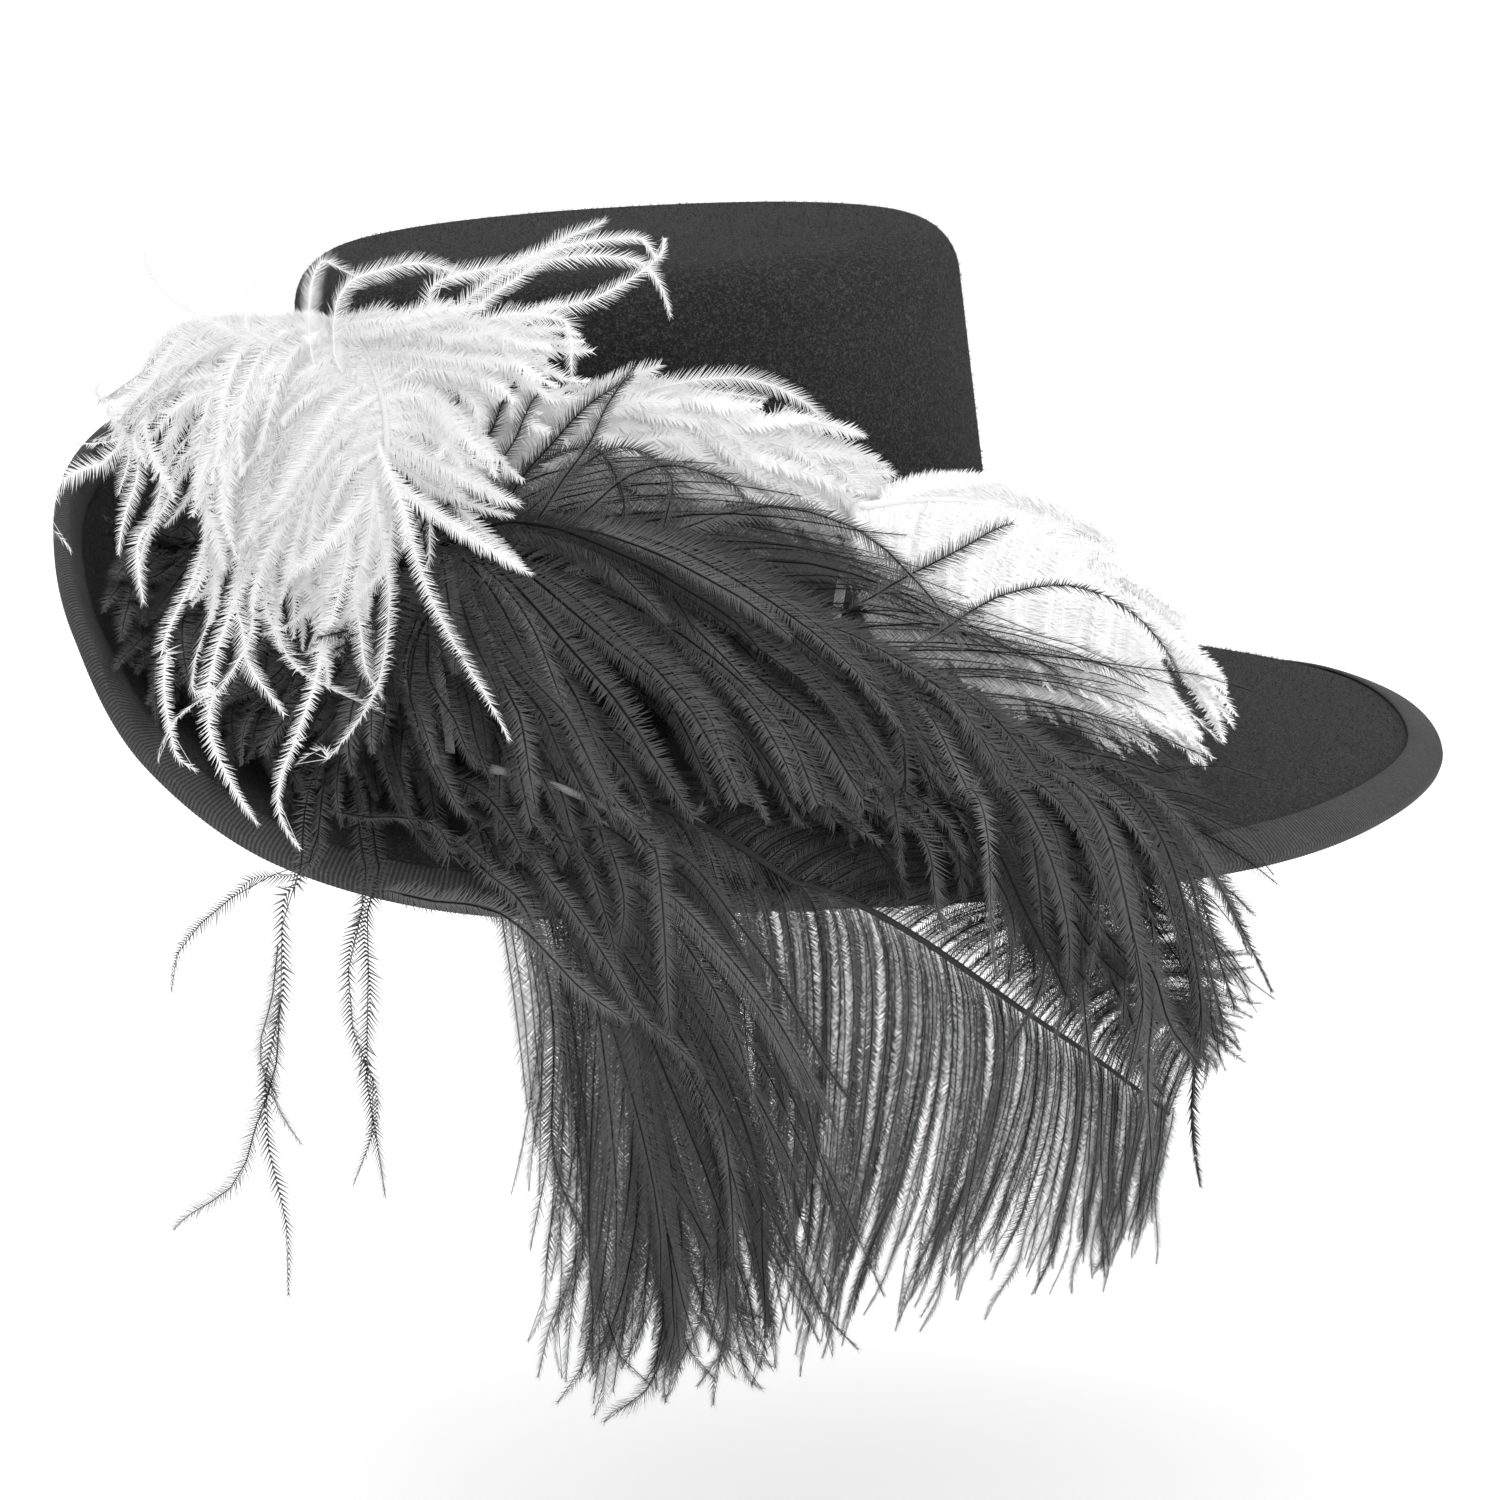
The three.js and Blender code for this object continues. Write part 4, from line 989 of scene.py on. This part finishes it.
    "spine": [(251, 0.72), (256, 0.86), (262, 1.0), (266, 1.16), (268, 1.37), (268, 1.65), (268, 1.87)],
    "vanes": [
        {"count": 46, "fill": 0.6, "lengths": (0.7, 1.02), "barbs": [
            (0.08, 261, 1.17, 261, 1.71), (0.15, 262, 1.33, 260, 1.95), (0.3, 263, 1.45, 261, 2.07),
            (0.5, 264, 1.71, 262, 2.13), (0.8, 266, 1.97, 264, 2.16)]},
        {"count": 58, "lengths": (0.7, 1.02), "barbs": [
            (0.05, 267, 1.11, 270, 1.55), (0.12, 270, 1.23, 274, 1.81), (0.22, 272, 1.35, 278, 2.01),
            (0.35, 273, 1.55, 278, 2.07), (0.55, 273, 1.75, 275, 2.11), (0.85, 271, 1.99, 271, 2.15)]},
        {"count": 24, "lengths": (0.7, 1.02), "barbs": [
            (0.3, 267, 1.65, 266, 2.05), (0.6, 268, 1.85, 267, 2.12), (0.97, 269, 2.05, 269, 2.16)]},
        {"count": 26, "rise": 0.002, "lengths": (0.7, 1.02), "barbs": [
            (0.03, 267, 0.93, 275, 1.33), (0.1, 272, 1.15, 278, 1.65), (0.2, 275, 1.31, 280, 1.97),
            (0.3, 274, 1.51, 278, 2.05)]},
    ],
    "strands": [
        [(252, 0.9), (257, 1.07), (261, 1.17), (262, 1.37), (262, 1.63), (263, 1.81)],
        [(263, 0.93), (267, 0.89), (269, 0.95), (271, 1.09)],
        [(256, 0.91), (259, 0.89), (263, 0.95), (266, 1.17), (266, 1.33)],
        [(263, 0.91), (266, 0.95), (267, 1.13), (267, 1.23)],
        [(267, 0.95), (271, 1.05), (275, 1.19), (278, 1.35), (282, 1.55)],
        [(258, 0.95), (263, 1.13), (268, 1.33), (272, 1.49)],
        [(254, 0.85), (262, 0.83), (268, 0.93), (270, 1.2), (270, 1.45)],
        [(250, 1.13), (254, 1.15), (259, 1.17), (262, 1.23), (265, 1.31), (267, 1.37)],
        [(244, 0.93), (248, 0.95), (253, 0.95), (257, 1.05), (260, 1.15)],
        [(248, 0.75), (253, 0.81), (258, 0.89), (261, 1.05), (263, 1.19)],
    ],
}, {
    "place": "upper", "colour": "black", "layer": 3, "loft": 0.66,
    "root": (242, 0.3), "spread": 0.8, "puff": 0.008,
    "width": 0.0060, "curl": 0.4, "pitch": 0.00045, "fill": 1.3,
    "stray": 0.006, "stray_width": 0.0048, "stray_pitch": 0.0005, "stray_fill": 0.95,
    "spine": [(246, -0.15), (257, -0.1), (269, 0.09), (280, 0.43), (287, 0.77), (293, 1.03), (298, 1.22)],
    "vanes": [
        {"count": 92, "fill": 0.42, "barbs": [
            (0.0, 258, -0.38, 275, -0.36), (0.03, 261, -0.37, 279, -0.33), (0.15, 274, -0.21, 298, 0.03),
            (0.3, 288, -0.03, 307, 0.42), (0.45, 298, 0.33, 311, 0.68), (0.6, 301, 0.66, 312, 0.93),
            (0.8, 303, 1.02, 311, 1.27), (1, 305, 1.32, 309, 1.62)]},
        {"count": 72, "barbs": [
            (0.0, 253, 0.1, 264, 0.76), (0.12, 264, 0.21, 275, 0.96), (0.25, 273, 0.43, 281, 1.1),
            (0.4, 281, 0.65, 285, 1.12), (0.55, 287, 0.83, 290, 1.2), (0.7, 291, 1.0, 295, 1.33),
            (0.85, 295, 1.14, 299, 1.48), (1, 299, 1.28, 303, 1.62)]},
        {"count": 78, "spread": 1.3, "rise": 0.004, "lengths": (0.8, 1.12), "barbs": [
            (0, 261, -0.11, 274, 0.55), (0.1, 268, -0.05, 282, 0.8), (0.2, 277, 0.03, 289, 0.97),
            (0.3, 288, 0.31, 294, 1.1), (0.4, 292, 0.55, 298, 1.24), (0.5, 296, 0.75, 302, 1.4),
            (0.62, 300, 0.95, 305, 1.56)]},
        {"count": 40, "barbs": [
            (0, 249, 0.16, 257, 0.8), (0.05, 254, 0.26, 263, 0.9), (0.1, 259, 0.36, 268, 1.04)]},
        {"count": 48, "barbs": [
            (0, 244, 0.2, 241, 0.75), (0.05, 244, 0.25, 247, 0.85), (0.1, 248, 0.3, 256, 0.95)]},
    ],
    "strands": [
        [(243, -0.05), (239, -0.09), (237, -0.25), (236, -0.39), (234, -0.53)],
        [(243, -0.05), (235, -0.07), (232, -0.21), (232, -0.35), (235, -0.39), (237, -0.31), (238, -0.17)],
        [(246, -0.3), (252, -0.43), (255, -0.55), (259, -0.71)],
        [(242, -0.15), (244, -0.35), (247, -0.49), (250, -0.59)],
        [(244, -0.15), (248, -0.27), (255, -0.37)],
        [(253, -0.15), (259, -0.29), (266, -0.41), (270, -0.43), (273, -0.33), (272, -0.19), (271, -0.01)],
        [(253, -0.13), (256, -0.31), (261, -0.45), (265, -0.55), (270, -0.63)],
        [(251, -0.17), (255, -0.39), (258, -0.53), (262, -0.65)],
        [(245, -0.15), (253, -0.29), (260, -0.41), (266, -0.43), (268, -0.33), (268, -0.19), (266, -0.01)],
        [(255, -0.11), (262, -0.33), (266, -0.49), (270, -0.65)],
        [(261, -0.19), (270, -0.35), (276, -0.35), (281, -0.25)],
        [(270, -0.13), (282, -0.21), (293, -0.09), (297, 0.19), (299, 0.43)],
        [(294, 0.4), (298, 0.37), (306, 0.27), (313, 0.27), (317, 0.39), (316, 0.65)],
        [(290, 0.2), (295, 0.17), (304, 0.03), (314, -0.07)],
    ],
}]

FEATHERS = {
    "white": feather_material("white ostrich", (0.8, 0.8, 0.8), (0.76, 0.76, 0.76),
                              variation=0.03, roughness=0.85, shine=0.2, sheen=0.1, glow=0.1),
    "black": feather_material("black ostrich", (0.002, 0.002, 0.002), (0.078, 0.078, 0.079),
                              variation=0.34, roughness=0.7, shine=0.1, sheen=0.03, glow=0),
}

for number, plume in enumerate(PLUMES):
    rng = np.random.default_rng(40 + number)
    meshes = [plume_quill(plume)]
    for vane in plume["vanes"]:
        lines, normals = vane_barbs(plume, vane, rng)
        fill = vane.get("fill", plume["fill"])
        meshes.append(barb_mesh(lines, normals, plume["width"], plume["pitch"], fill, rng))
    if "strands" in plume:
        lines, normals = strand_barbs(plume, rng)
        stray = [plume["stray_" + key] for key in ("width", "pitch", "fill")]
        meshes.append(barb_mesh(lines, normals, *stray, rng))
    if "bare" in plume:
        meshes.append(bare_quill(plume))
    # A plume's own tone, where it has one, lightens all its barbs: painted light, as on the back plume.
    points, faces, uv, tone = join(meshes)
    place, colour = plume["place"], plume["colour"]
    add_piece(f"{place}_{colour}_plume", points, faces, FEATHERS[colour],
              [f"{colour}_plume_{place}"], uv, tone + plume.get("tone", 0))
